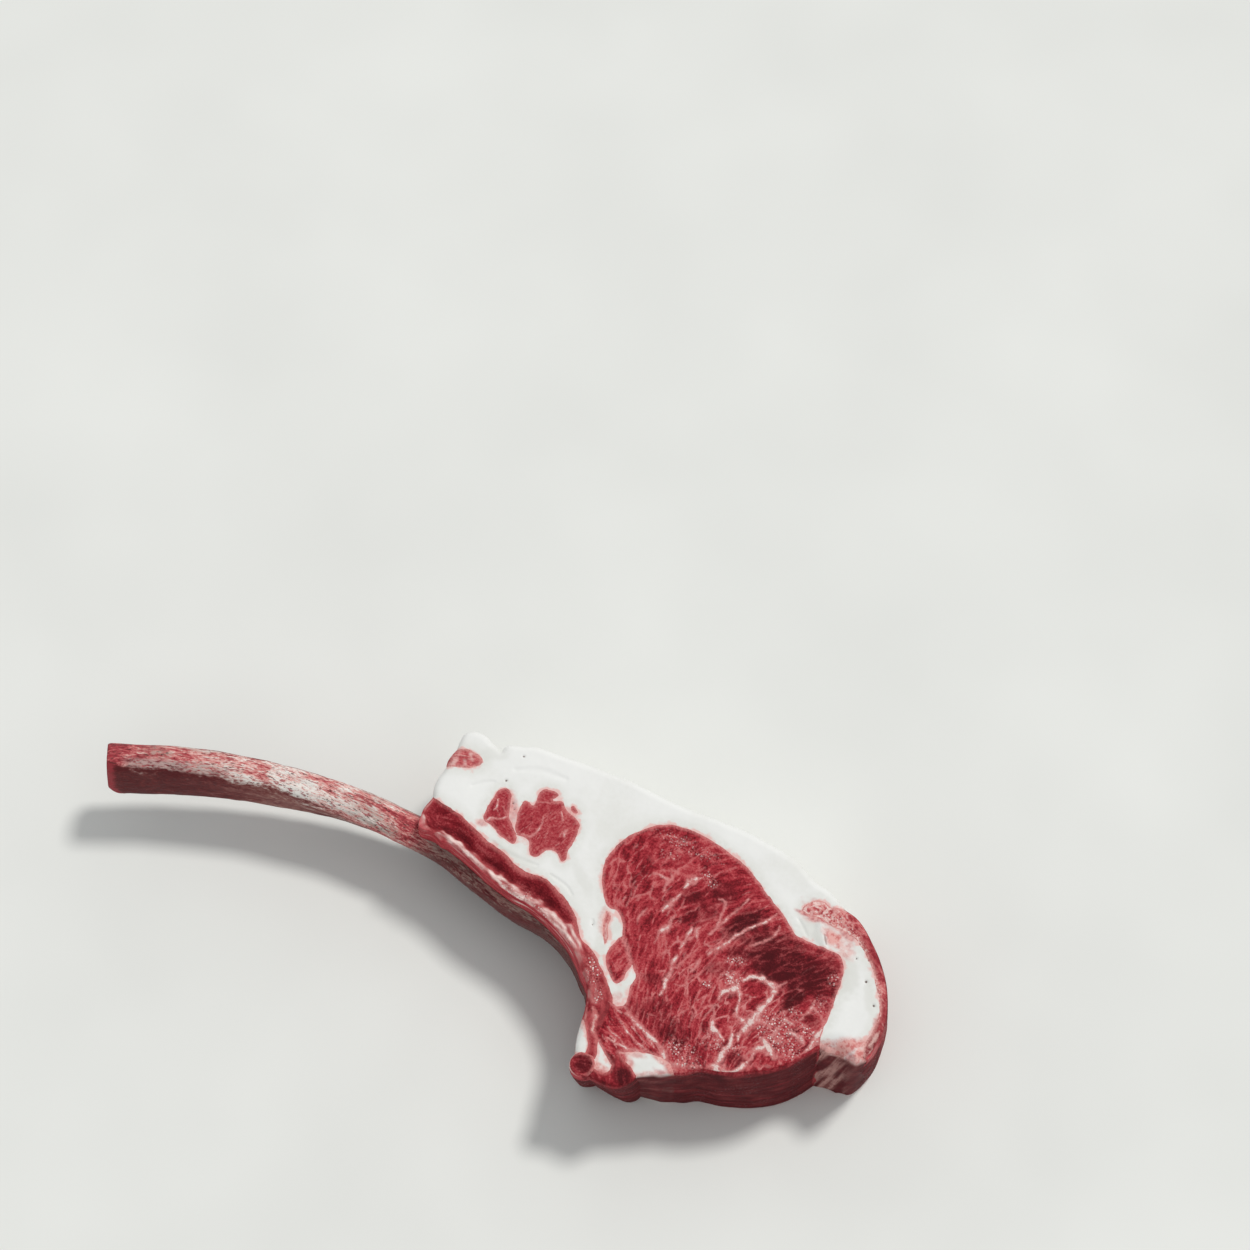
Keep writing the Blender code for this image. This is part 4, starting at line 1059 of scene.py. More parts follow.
def fibres(plan, height, label):
    """Coordinates in mm across the fibres, along them, and up, for each point."""
    across, along, _ = eye_fibres(plan)
    for name, turn in FIBRE_TURNS.items():
        here = label == LABELS.index(name)
        along[here], across[here] = turned(plan[here], math.radians(turn))
    strip = label == LABELS.index("rib_strip")
    if strip.any():
        across[strip], along[strip], _ = BODY.nearest(plan[strip])
    return np.column_stack([across, along, height])


def slid(foot, outward, height):
    """Outline points and outward directions slid along it, and how far, so that seams wander."""
    gap = np.linalg.norm(np.roll(foot, -1, axis=0) - foot, axis=1)
    run = np.concatenate([[0.0], np.cumsum(gap)])
    share = np.clip(height / THICKNESS, 0, 1)
    slide = noise(np.column_stack([foot / 6.0, height / 5.0]), 71)
    slide = slide + 0.4 * noise(np.column_stack([foot / 2.5, height / 2.0]), 72)
    slide = SEAM_WANDER * slide * np.sin(np.pi * share) ** 0.6
    target = (run[:-1] + slide) % run[-1]
    both = np.column_stack([foot, outward])
    both = np.concatenate([both, both[:1]])
    both = np.column_stack([np.interp(target, run, both[:, k]) for k in range(4)])
    return both[:, :2], both[:, 2:], slide


def outward_from(feet):
    """Smoothed directions out of the closed outline that these points follow."""
    ahead = np.roll(feet, -1, axis=0) - np.roll(feet, 1, axis=0)
    outward = np.column_stack([ahead[:, 1], -ahead[:, 0]])
    for _ in range(3):
        outward = outward + np.roll(outward, 1, axis=0) + np.roll(outward, -1, axis=0)
    return outward / np.linalg.norm(outward, axis=1)[:, None]


def wall_rings(radius):
    """Offset and height of each ring of the wall, from the upper rim down to the lower one."""
    rings = []
    start_angle = np.arcsin(np.clip(1 - EDGE_INSET / radius, 0, 1))
    for k in range(1, ROUNDING_RINGS + 1):
        angle = start_angle + (np.pi / 2 - start_angle) * k / ROUNDING_RINGS
        rings.append((-radius * (1 - np.sin(angle)),
                      THICKNESS - radius * (1 - np.cos(angle))))
    wall_count = int((THICKNESS - RIMS_HEIGHT) / RING_STEP)
    top = THICKNESS - radius
    for k in range(1, wall_count + 1):
        rings.append((0 * radius, top + (LOWER_ROUNDING - top) * (k / wall_count)))
    low_angle = math.asin(1 - EDGE_INSET / LOWER_ROUNDING)
    for k in range(1, ROUNDING_RINGS):
        angle = np.pi / 2 + (low_angle - np.pi / 2) * k / ROUNDING_RINGS
        rings.append((np.full(len(radius), -LOWER_ROUNDING * (1 - math.sin(angle))),
                      np.full(len(radius), LOWER_ROUNDING * (1 - math.cos(angle)))))
    return rings


class Skin:
    """The chop's whole outside as one set of points and faces, each face with its piece.

    The points of the upper cut face come first, then as many of the lower one, and then the
    wall's rings. Every point knows where it was drawn, so that looks and relief can follow.
    """

    def __init__(self):
        plan, triangles, triangle_label = lattice()
        self.count = count = len(plan)
        edges, owner, across = across_edges(triangles)
        outer = across < 0
        order = one_loop(edges[outer])
        loop = edges[outer][order][:, 0]
        loop_label = triangle_label[owner[outer][order]]

        own_label, other_label = triangle_label[owner], triangle_label[np.maximum(across, 0)]
        inner = (across >= 0) & (own_label != other_label)
        fat_edge = inner & (is_fat(own_label) != is_fat(other_label))
        label = np.zeros(count, int)
        for value in sorted(set(triangle_label), reverse=True):
            label[triangles[triangle_label == value].ravel()] = value
        rim = border_distance(plan, edges[inner])
        fat_rim = border_distance(plan, edges[fat_edge])
        depth, run, foot = BODY.nearest(plan)
        radius = rounding_at(foot)

        # Wall columns hang from the loop: foot on the outline and a smoothed outward direction.
        self.loop_foot, self.outward = foot[loop], outward_from(foot[loop])
        rings = wall_rings(radius[loop])
        moved = [slid(self.loop_foot, self.outward, height) for _, height in rings]
        wall_plan = np.concatenate([
            foot + out * offset[:, None] for (foot, out, _), (offset, _) in zip(moved, rings)
        ])

        def everywhere(values):
            """Values of the drawing's points, for both faces and each ring of the wall."""
            return np.concatenate([values, values, np.tile(values[loop], len(rings))])

        self.plan = np.concatenate([plan, plan, wall_plan])
        self.height = np.concatenate([
            THICKNESS - drop_at(depth, radius), drop_at(depth, LOWER_ROUNDING),
            *[height for _, height in rings],
        ])
        self.label, self.rim, self.fat_rim = map(everywhere, (label, rim, fat_rim))
        self.out = np.concatenate([np.zeros((2 * count, 2)), *[out for _, out, _ in moved]])
        self.run = np.concatenate([run, run, *[run[loop] + slide for _, _, slide in moved]])
        self.depth = np.concatenate([depth, depth, np.zeros(len(wall_plan))])
        part = np.concatenate([np.zeros(count), np.ones(count), np.full(len(wall_plan), 2)])
        self.upper, self.under, self.wall = part == 0, part == 1, part == 2

        wall_index = np.arange(2 * count, len(self.plan)).reshape(len(rings), -1)
        ring_index = [loop, *wall_index, loop + count]
        self.quads = np.concatenate([
            np.column_stack([np.roll(upper, -1), upper, lower, np.roll(lower, -1)])
            for upper, lower in zip(ring_index, ring_index[1:])
        ])
        self.quad_label = np.tile(loop_label, len(ring_index) - 1)
        self.triangles = np.concatenate([triangles, triangles[:, [0, 2, 1]] + count])
        self.triangle_label = np.tile(triangle_label, 2)
        self.inner_edges, self.inner_label = edges[inner], own_label[inner]
        self.columns = dict(zip(loop.tolist(), wall_index.T.tolist()))

        self.x, self.y = self.plan[:, 0], self.plan[:, 1]
        self.drop = THICKNESS - self.height
        self.fat, self.strip = is_fat(self.label), self.of("rib_strip")
        self.uneven = self.drop + 0.8 * self.run_noise(3.0, 3.0, 86)
        self.chine_wall = self.wall & (self.y < CHINE_TOP) & (self.x > CHINE_START)
        self.ridge = self.raised_edge()

    def of(self, *names):
        """Which points belong to these pieces."""
        return np.isin(self.label, [LABELS.index(name) for name in names])

    def near(self, x, y, size):
        """1 at a spot of the plan, falling off over this size in mm."""
        return bell((self.x - x) / size, (self.y - y) / size)

    def noise(self, size, seed):
        return plan_noise(self.plan, size, seed)

    def run_noise(self, along, down, seed):
        """Noise with lumps this long along the outline and this high down the wall."""
        return noise(side_by_side(self.run / along, self.drop / down, 0.0), seed)

    def rim_noise(self, along, inward, seed):
        """Noise with lumps this long along the outline and this deep in from it."""
        return noise(side_by_side(self.run / along, self.depth / inward, 0.0), seed)

    def raised_edge(self):
        """1 on the raised outer edge of the strip along the rib, 0 away from it."""
        wavy = 0.6 * self.noise(2.8, 83) + 0.3 * self.noise(1.1, 89)
        reach = np.interp(self.x, *RIDGE_REACH)
        on_top = smoothstep((reach + wavy - self.depth) / 0.9 + 0.5)
        return on_top * np.interp(self.x, (11.0, 15.5), (1.0, 0.0)) * (self.y > -4.0) * self.strip


def marbling(skin, shift):
    """How pale each point of the cut faces is from a vein or fleck in the lean."""
    wander = side_by_side(*[
        0.30 * skin.noise(1.7, seed) + 0.20 * skin.noise(0.65, seed + 1) for seed in (21, 23)
    ])
    faces = ~skin.wall
    at = (skin.plan + 0.6 * wander + shift)[faces]
    vein = np.zeros(len(at))
    random = np.random.default_rng(7)
    for name in FLECKS:
        for half_width, strength, points in fleck_lines(name, random):
            vein = np.maximum(vein, strength * stroke(at, half_width, points))
    vein *= 1 - 0.6 * patches((skin.plan + shift)[faces], "dark")
    swell = np.exp(0.75 * skin.noise(1.25, 26) - 0.05)[faces]
    faint = (0.9 + 0.35 * skin.noise(2.6, 27))[faces]
    for strength, points in VEINS:
        vein = np.maximum(vein, strength * faint * vein_at(at, points, swell))
    value = np.zeros(len(skin.plan))
    value[faces] = vein
    value[skin.fat] = 0
    return value


def looks_of(skin):
    """Masks for the materials, one value for each point of the skin."""
    # Under the chop the same veins and patches come out a little elsewhere.
    shift = side_by_side(1.5 * skin.noise(7, 31), 1.5 * skin.noise(7, 32)) * skin.under[:, None]
    looks = {"vein": marbling(skin, shift)}
    for mask in PATCHES:
        looks[mask] = patches(skin.plan + shift, mask)
    looks["mesh"] *= ~skin.wall
    # The strip's trough is painted darker: its own dark lean, and painted shade in the hollow.
    trough = (1 - skin.ridge) * fade(skin.x, 11.5, 7.5) * ~skin.wall
    trough *= smoothstep(0.75 + 0.9 * skin.noise(2.4, 50))
    strip_dark = 0.62 * trough * fade(skin.rim, 0.6, 2.1)
    strip_dark *= np.interp(skin.x, (-27.0, -18.0), (0.2, 1.0))
    looks["dark"] = np.where(skin.strip, strip_dark, looks["dark"])
    meat_reach = np.interp(skin.x, *MEAT_REACH)
    looks["meat"] *= np.where(skin.wall, smoothstep((meat_reach - skin.drop) / 2.0), 1.0)
    # Dark in the small pits, and a painted shadow in the folded step beside the big muscle.
    pit_and_shadow = 0.55 * stroke(skin.plan, 0.32, STEP_SHADOW)
    for size, middle in PITS:
        pit_and_shadow = np.maximum(pit_and_shadow, skin.near(*middle, 1.1 * size))
    looks["pit_and_shadow"] = pit_and_shadow * skin.upper
    looks["blood_and_shade"], looks["veil"] = blood_and_shade_of(skin), veil_of(skin)
    return looks


def at_least(value, where, least):
    """The values, raised to at least the given ones at some points."""
    return np.where(where, np.maximum(value, least), value)


def blood_and_shade_of(skin):
    """How far dark blood, with painted shade, covers each point of the wall."""
    begin = np.interp(skin.x, *BLOOD_AND_SHADE_BEGINS)
    for x, y, size, _, down in FLAP_LUMPS:
        begin = begin + (down - 1.0) * skin.near(x, y, 1.3 * size)
    strip_wall = skin.strip & skin.wall
    blood_and_shade = np.zeros(len(skin.plan))
    # Each wall darkens from a start height downwards: dark blood, and painted shade low on the
    # wall and under the strip's raised edge.
    for where, start, depth in (
        (skin.chine_wall, begin, 1.6), (strip_wall & (skin.x < RIB_SIDE_END), 6.0, 3.5),
        (strip_wall & (skin.x < COLLAR_WALL), 9.0, 4.0),
    ):
        blood_and_shade = np.where(where, smoothstep((skin.uneven - start) / depth), blood_and_shade)
    outer_wall = skin.wall & skin.of("outer_layer") & ~skin.chine_wall
    ragged_wall = smoothstep(0.55 + 0.9 * skin.run_noise(4.0, 2.5, 96))
    blood_and_shade = at_least(blood_and_shade, outer_wall, 0.25 + 0.5 * ragged_wall)
    return np.clip(blood_and_shade, 0, 1)


def strip_veil(skin, layers, streaks):
    """Membrane on the strip along the rib: its raised edge, its end and its wall."""
    x, strip, wall, uneven, depth = skin.x, skin.strip, skin.wall, skin.uneven, skin.depth
    along, quick = skin.rim_noise(4.0, 0.55, 87), skin.rim_noise(1.5, 0.5, 90)
    # Along the crest the membrane is whiter, partly as a painted highlight.
    crest = bell((depth - 0.8) / 0.8)
    veil = np.where(strip, skin.ridge * np.where(wall, fade(uneven, 1.35, 0.45), 1.0), 0.0)
    veil = veil * (0.52 + np.where(wall, 0.5 * layers, 0.32 * crest + 0.5 * along + 0.4 * quick))
    streaky = smoothstep(0.55 + 0.4 * along + 0.3 * quick + 0.7 * skin.noise(1.3, 98))
    streaky = streaky * np.interp(depth, (0.0, 2.2, 4.2), (0.62, 0.5, 0.25))
    streaky = streaky * np.interp(x, (7.0, 12.0), (0.0, 1.0))
    veil = at_least(veil, strip & skin.upper & (x > 7.0), streaky)
    side_share = np.interp(skin.drop, (3.0, 9.0), (0.5, 0.12)) * smoothstep(0.5 + layers)
    veil = at_least(veil, strip & wall & (x > 4.0), side_share)
    # Red flesh shows under the raised edge.
    flesh = fade(uneven, 7.0, 3.0) * (0.62 + 0.5 * streaks)
    return at_least(veil, strip & wall & (x < RIB_SIDE_END) & (skin.y > -8.0), flesh)


def outer_layer_veil(skin, streaks):
    """Blotches and a torn border on the outer layer's face, and raw flesh down its far wall."""
    blotch = np.interp(skin.x, *BLOTCH_SHARE) * smoothstep(0.38 + 2.4 * skin.noise(0.75, 88))
    torn = 0.55 + 0.9 * skin.noise(0.9, 99) + 0.7 * skin.noise(2.2, 100)
    torn = np.interp(skin.x, *TORN_SHARE) * torn
    border = 0.85 * smoothstep((torn - skin.rim) / 0.5 + 0.5)
    flesh = bell((skin.x - 71.4) / 2.3, (skin.y + 1.6) / 3.6) * fade(skin.uneven, 7.0, 4.0)
    flesh = np.clip(1.3 * flesh * (0.7 + 0.5 * streaks), 0, 0.72)
    return np.maximum(blotch, border) * fade(skin.y, -0.5, 3.5), flesh


def veil_of(skin):
    """How far pale membrane, or flesh on the wall, covers each point."""
    x, drop, uneven = skin.x, skin.drop, skin.uneven
    wall, chine = skin.wall, skin.chine_wall
    layers, streaks = skin.run_noise(6.0, 0.9, 84), skin.run_noise(5.0, 0.8, 95)
    veil = strip_veil(skin, layers, streaks)
    # Pink tissue under the knob, and films hanging at the far end of the chine's wall.
    knob_share = np.interp(x, (18.0, 21.0), (0.96, 0.6)) * smoothstep(0.72 + layers)
    veil = np.where(chine & (np.abs(x - 20.0) < 3.2), fade(uneven, 5.0, 2.5) * knob_share, veil)
    leaning = skin.run + 0.25 * drop
    slanted = noise(side_by_side(leaning / 1.7, drop / 9.0, 0.0), 93)
    slanted = slanted + 0.5 * noise(side_by_side(leaning / 0.8, drop / 7.0, 0.0), 101)
    film = np.interp(x, *FILM_SHARE) * smoothstep(0.5 + 1.3 * slanted)
    veil = np.where(chine & (x > FILM_START), film, veil)
    streaked = chine & (x <= FILM_START) & (x > 20.0)
    veil = np.where(streaked, 0.13 * smoothstep(layers * 2 - 0.3), veil)
    # The collar where the rib comes out has a torn pale edge.
    reach = 0.75 + 0.6 * skin.noise(1.6, 91)
    edge = smoothstep((reach - skin.depth) / 0.7) * fade(uneven, 3.0, 1.0)
    edge = edge * (0.8 + 0.5 * skin.run_noise(0.9, 1.2, 94))
    collar = skin.strip & (x < COLLAR_FACE)
    veil = np.where(collar, np.maximum(np.minimum(veil, 0.7), 0.7 * edge), veil)
    outer = skin.of("outer_layer")
    pink_face, red_wall = outer_layer_veil(skin, streaks)
    veil = np.where(outer & ~wall, pink_face, veil)
    soft = smoothstep(0.5 + 0.9 * skin.noise(1.2, 92))
    veil = np.where(skin.of("tail_strip", "pink_sliver") & ~wall, 0.25 + 0.5 * soft, veil)
    flesh_end = np.maximum(0.3 * skin.near(*FLESH_TIP), 0.6 * skin.near(*FLESH_LUMP))
    veil = np.where(skin.of("chine_end") & ~wall, flesh_end * (0.6 + 0.5 * soft), veil)
    veil = at_least(veil, outer & wall, red_wall)
    # Faint pink membrane on the fat's wall.
    film = smoothstep(0.15 + 1.3 * skin.run_noise(8.0, 3.0, 97)) * fade(drop, 0.0, 3.0)
    veil = at_least(veil, wall & skin.fat & ~chine, 0.13 * film)
    return np.clip(veil, 0, 1)


def face_rise(skin, looks, flow):
    """How far a cut face rises above its level at each point, in mm."""
    x, y, wet = skin.x, skin.y, looks["wet"]
    rise = 0.30 * skin.noise(21.0, 51) + 0.12 * skin.noise(6.0, 52)
    crown = 0.26 * (1 - np.exp(-skin.rim / 3.5)) - 0.03
    grain = 0.085 * noise(flow * (1 / 1.0, 1 / 6.0, 0), 54) + 0.05 * skin.noise(0.9, 55)
    grain = grain * (1 + 1.4 * wet) + 0.07 * wet * skin.noise(0.6, 56)
    on_fat = 0.014 * skin.noise(1.3, 53) - 0.015 * bell(skin.rim / 0.40)
    rise = rise + np.where(skin.fat, on_fat, crown + grain + 0.06 * looks["vein"])
    # The strip along the rib is a trough behind a raised edge.
    trough = fade(skin.rim, 0.0, 2.6) * (1 - skin.ridge) * np.interp(x, *TROUGH_REACH)
    sag = 0.7 * np.interp(x, *RIDGE_SPREAD) * fade(skin.depth, 5.0, 0.0)
    rise = rise + np.where(skin.strip, 0.28 * skin.ridge - TROUGH_DEPTH * trough - sag, 0.0)
    # The knob is a bone end: a rim round a sunken middle.
    knob_reach = np.linalg.norm(skin.plan - KNOB_MIDDLE, axis=1)
    rise = rise + np.where(skin.of("chine_knob"), 0.25 - 0.75 * fade(knob_reach, 2.1, 1.4), 0.0)
    for half_width, deep, points in CREASES:
        rise = rise - deep * stroke(skin.plan, half_width, points, soft=0.9)
    for size, middle in PITS:
        rise = rise - 0.45 * skin.near(*middle, size)
    # A thin step of fat folded over beside the big muscle.
    step_side = smoothstep((56.0 + (17.6 - y) * 0.5 - x) / 0.5)
    return rise + 0.45 * stroke(skin.plan, 1.6, STEP_LINE, soft=0.8) * step_side


def wall_push(skin, spread):
    """How far each point of the wall is pushed out, in mm."""
    rounded = np.sin(np.pi * np.clip(skin.drop / THICKNESS, 0, 1))
    solid = np.column_stack([skin.plan, skin.height])
    lumps = 0.35 * noise(solid / (7.0, 7.0, 9.0), 61) + 0.12 * noise(solid / (2.6, 2.6, 3.4), 62)
    layers = 0.12 * noise(solid / (7.0, 7.0, 1.3), 63) + 0.05 * noise(solid / (2.0, 2.0, 0.8), 64)
    push = WALL_BULGE * rounded**0.8
    push = push + rounded**0.4 * np.where(skin.fat, lumps, 0.6 * lumps + layers)
    for x, y, size, out, down in FLAP_LUMPS:
        hang = smoothstep((down - skin.drop) / 1.4) * smoothstep(skin.drop / 0.8 + 0.35)
        push = push + out * skin.near(x, y, size) * hang
    return np.where(skin.wall, push + spread * fade(skin.drop, 11.0, 2.0), 0.0)


def relief(skin, looks, flow):
    """The skin's final points in metres: cut faces and wall with their unevenness."""
    rise = face_rise(skin, looks, flow)
    z = np.where(skin.upper, skin.height + rise, skin.height)
    z = np.where(skin.under, np.maximum(z + np.maximum(rise, 0) / 8, 0.02), z)
    # The rim carries the cut face's rise down the wall a little way.
    for top, column in skin.columns.items():
        z[column] += rise[top] * np.exp(-np.arange(1, len(column) + 1) / 5.0)
    z[skin.wall] = np.maximum(z[skin.wall], 0.0)

    spread = np.interp(skin.x, *RIDGE_SPREAD) * (skin.strip & (skin.y > -6))
    moved = skin.plan + skin.out * wall_push(skin, spread)[:, None]
    leaning = np.flatnonzero(skin.strip & skin.upper & (spread > 0))
    gap = skin.plan[leaning][:, None, :] - skin.loop_foot[None]
    nearest = np.argmin(np.sum(gap * gap, axis=2), axis=1)
    slide = spread[leaning] * fade(skin.depth[leaning], 5.5, 0.0)
    moved[leaning] += skin.outward[nearest] * slide[:, None]
    return np.column_stack([undercut(moved, skin.height) - DRAWN_MIDDLE, z]) * MM


def vertex_normals(points, triangles, quads):
    """Area-weighted normals of the whole skin, so that pieces shade as one surface."""
    normals = np.zeros_like(points)
    for faces in (triangles, quads[:, [0, 1, 2]], quads[:, [0, 2, 3]]):
        a, b, c = points[faces[:, 0]], points[faces[:, 1]], points[faces[:, 2]]
        face = np.cross(b - a, c - a)
        for k in range(3):
            np.add.at(normals, faces[:, k], face)
    return normals / np.maximum(np.linalg.norm(normals, axis=1), 1e-20)[:, None]


def new_piece(name, points, faces, smooth_count, material, attributes):
    """A mesh object whose first faces are smooth, with a value or vector for each point."""
    mesh = bpy.data.meshes.new(name)
    mesh.from_pydata(points.tolist(), [], faces)
    smooth = [k < smooth_count for k in range(len(faces))]
    mesh.polygons.foreach_set("use_smooth", smooth)
    for key, values in attributes.items():
        kind, field = ("FLOAT_VECTOR", "vector") if values.ndim == 2 else ("FLOAT", "value")
        layer = mesh.attributes.new(key, kind, "POINT")
        layer.data.foreach_set(field, values.astype(np.float32).ravel())
    mesh.materials.append(material)
    return placed(name, mesh)


def piece_faces(skin, i):
    """Faces of one piece: its skin, and then walls down through the slice to its neighbours."""
    faces = skin.triangles[skin.triangle_label == i].tolist()
    faces += skin.quads[skin.quad_label == i].tolist()
    skin_count = len(faces)
    for a, b in skin.inner_edges[skin.inner_label == i].tolist():
        face = [b, a, *skin.columns.get(a, []), a + skin.count, b + skin.count]
        faces.append(face + skin.columns.get(b, [])[::-1])
    return faces, skin_count


def build_chop(materials):
    skin = Skin()
    looks = looks_of(skin)
    points = relief(skin, looks, fibres(skin.plan, skin.height, skin.label))
    normals = vertex_normals(points, skin.triangles, skin.quads)
    attributes = {"rim": skin.rim, "wall": skin.wall, "run": skin.run, **looks}
    for i, name in enumerate(LABELS):
        faces, skin_count = piece_faces(skin, i)
        corners = np.concatenate(faces)
        used = np.unique(corners)
        renumber = {int(v): k for k, v in enumerate(used)}
        local = [[renumber[v] for v in face] for face in faces]
        own = {key: values[used] for key, values in attributes.items()}
        if name in MELTING:
            own["rim"] = skin.fat_rim[used]
        own["flow"] = fibres(skin.plan[used], skin.height[used], np.full(len(used), i))
        obj = new_piece(name + "_looks", points[used], local, skin_count, materials[name], own)
        custom = normals[corners]
        custom[sum(map(len, faces[:skin_count])):] = 0
        obj.data.normals_split_custom_set(custom.tolist())
        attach(obj, "root")
        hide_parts(name)


# ---------------------------------------------------------------- the rib

def rib_frames():
    """Shares of the rib's length, the length, its middle line, and its ahead, side and up."""
    line = smooth_line(RIB_LINE)
    run = np.concatenate([[0], np.cumsum(np.linalg.norm(np.diff(line, axis=0), axis=1))])
    shares = np.linspace(0, 1, int(run[-1] / RIB_STEP) + 1)
    centre = np.column_stack([np.interp(shares * run[-1], run, line[:, k]) for k in range(3)])
    centre[:, :2] -= DRAWN_MIDDLE
    ahead = np.gradient(centre, axis=0)
    ahead /= np.linalg.norm(ahead, axis=1)[:, None]
    side = np.cross(ahead, (0, 0, 1.0))
    side /= np.linalg.norm(side, axis=1)[:, None]
    up = np.cross(side, ahead)
    tilt = np.radians(np.interp(shares, *RIB_TURN))[:, None]
    side, up = side * np.cos(tilt) + up * np.sin(tilt), up * np.cos(tilt) - side * np.sin(tilt)
    return shares, run[-1], centre, ahead, side, up


def rib_section(shares, turn):
    """Points round the flat-sided section, of reach 1 each way, and how far each faces up."""
    handle = fade(shares, 0.75, 0.45)[:, None]
    outer = np.where(np.sin(turn) > 0, RIB_SQUARENESS, RIB_LOWER_SQUARENESS)[None]
    squareness = RIB_INNER_SQUARENESS + (outer - RIB_INNER_SQUARENESS) * handle
    wide, high = np.abs(np.cos(turn))[None], np.abs(np.sin(turn))[None]
    reach = (wide**squareness + high**squareness) ** (-1 / squareness)
    across, over = np.cos(turn)[None] * reach, np.sin(turn)[None] * reach
    facing_side = np.abs(across) ** (squareness - 1) / RIB_HALF_THICKNESS
    facing_up = np.abs(over) ** (squareness - 1) / RIB_HALF_HEIGHT
    return across, over, np.sign(over) * facing_up / np.hypot(facing_side, facing_up)


def band_faces(starts, turned):
    """Faces between rings of points that begin at these indices, one after the other."""
    faces = []
    for a, b in zip(starts, starts[1:]):
        for j in range(RIB_SIDES):
            k = (j + 1) % RIB_SIDES
            face = [a + j, b + j, b + k, a + k]
            faces.append(face[::-1] if turned else face)
    return faces


def build_rib(material):
    shares, length, centre, ahead, side, up = rib_frames()
    count = len(shares)
    turn = 2 * np.pi * (np.arange(RIB_SIDES) + 0.5) / RIB_SIDES
    across, over, upness = rib_section(shares, turn)
    swell = np.interp(shares, *RIB_SWELL)[:, None]
    offset = (side[:, None] * (RIB_HALF_THICKNESS * across * swell)[..., None]
              + up[:, None] * (RIB_HALF_HEIGHT * over * swell)[..., None])
    along = np.repeat(shares * length, RIB_SIDES)
    cos, sin = np.tile(np.cos(turn), count), np.tile(np.sin(turn), count)
    ripple = np.column_stack([along / 9.0, 1.6 * cos, 1.6 * sin])
    ridge = 0.26 * noise(ripple, 71) + 0.12 * noise(ripple * (2.4, 2.6, 2.6), 72)
    ridge = ridge + 0.06 * noise(ripple * (4.0, 7.0, 7.0), 73)
    size = np.linalg.norm(offset, axis=2, keepdims=True)
    rings = centre[:, None] + offset * (1 + ridge.reshape(size.shape) / size)

    # The cut end leans back below, where the saw left a rounded corner.
    low = smoothstep(-0.9 * over[:1] - 0.15)
    near_end = fade(shares * length, RIB_CORNER_REACH, 0.0)[:, None]
    rings = rings + ahead[:, None] * (RIB_CORNER * low * near_end)[..., None]

    # The cut ends: rings that close towards the middle, pushed in and out a little.
    inward = np.linspace(1, 0, RIB_CAP_RINGS + 2)[1:-1]
    caps = []
    for end, outward in ((0, -ahead[0]), (-1, ahead[-1])):
        for k in inward:
            ring = centre[end] + (rings[end] - centre[end]) * k
            rough = 0.12 * noise(ring / 1.1, 74) - 0.25 * (1 - k)
            caps.append(ring + outward * rough[:, None])
    middles = [centre[0] + ahead[0] * 0.25, centre[-1] - ahead[-1] * 0.25]
    points = np.concatenate([rings.reshape(-1, 3), *caps, middles])
    starts = [i * RIB_SIDES for i in range(count + len(caps))]
    tip = [0, *starts[count:count + RIB_CAP_RINGS]]
    root = starts[count - 1:count] + starts[count + RIB_CAP_RINGS:]
    tip_middle, root_middle = len(points) - 2, len(points) - 1
    faces = band_faces(starts[:count], False) + band_faces(tip, True) + band_faces(root, False)
    for j in range(RIB_SIDES):
        k = (j + 1) % RIB_SIDES
        faces.append([tip[-1] + j, tip[-1] + k, tip_middle])
        faces.append([root[-1] + k, root[-1] + j, root_middle])

    cut, core, facing = np.zeros((3, len(points)))
    tip_points = slice(tip[1], tip[1] + RIB_CAP_RINGS * RIB_SIDES)
    cut[tip_points] = np.repeat(np.clip((1 - inward) / 0.25, 0.3, 1), RIB_SIDES)
    core[tip_points] = np.repeat(1 - inward, RIB_SIDES)
    cut[tip_middle] = core[tip_middle] = 1
    facing[:upness.size] = upness.ravel()
    flow = np.zeros((len(points), 3))
    flow[:len(along)] = np.column_stack([along, 4.6 * cos, 4.6 * sin])
    obj = new_piece("rib_bone_looks", points * MM, faces, len(faces), material,
                    {"flow": flow, "cut": cut, "core": core, "upness": facing})
    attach(obj, "root")
    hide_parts("rib_bone")


# ---------------------------------------------------------------- materials

def linear(*values):
    """A colour given as 0 to 255 values on a screen, for a shader."""
    return tuple(
        v / 255 / 12.92 if v / 255 <= 0.04045 else ((v / 255 + 0.055) / 1.055) ** 2.4
        for v in values
    ) + (1.0,)


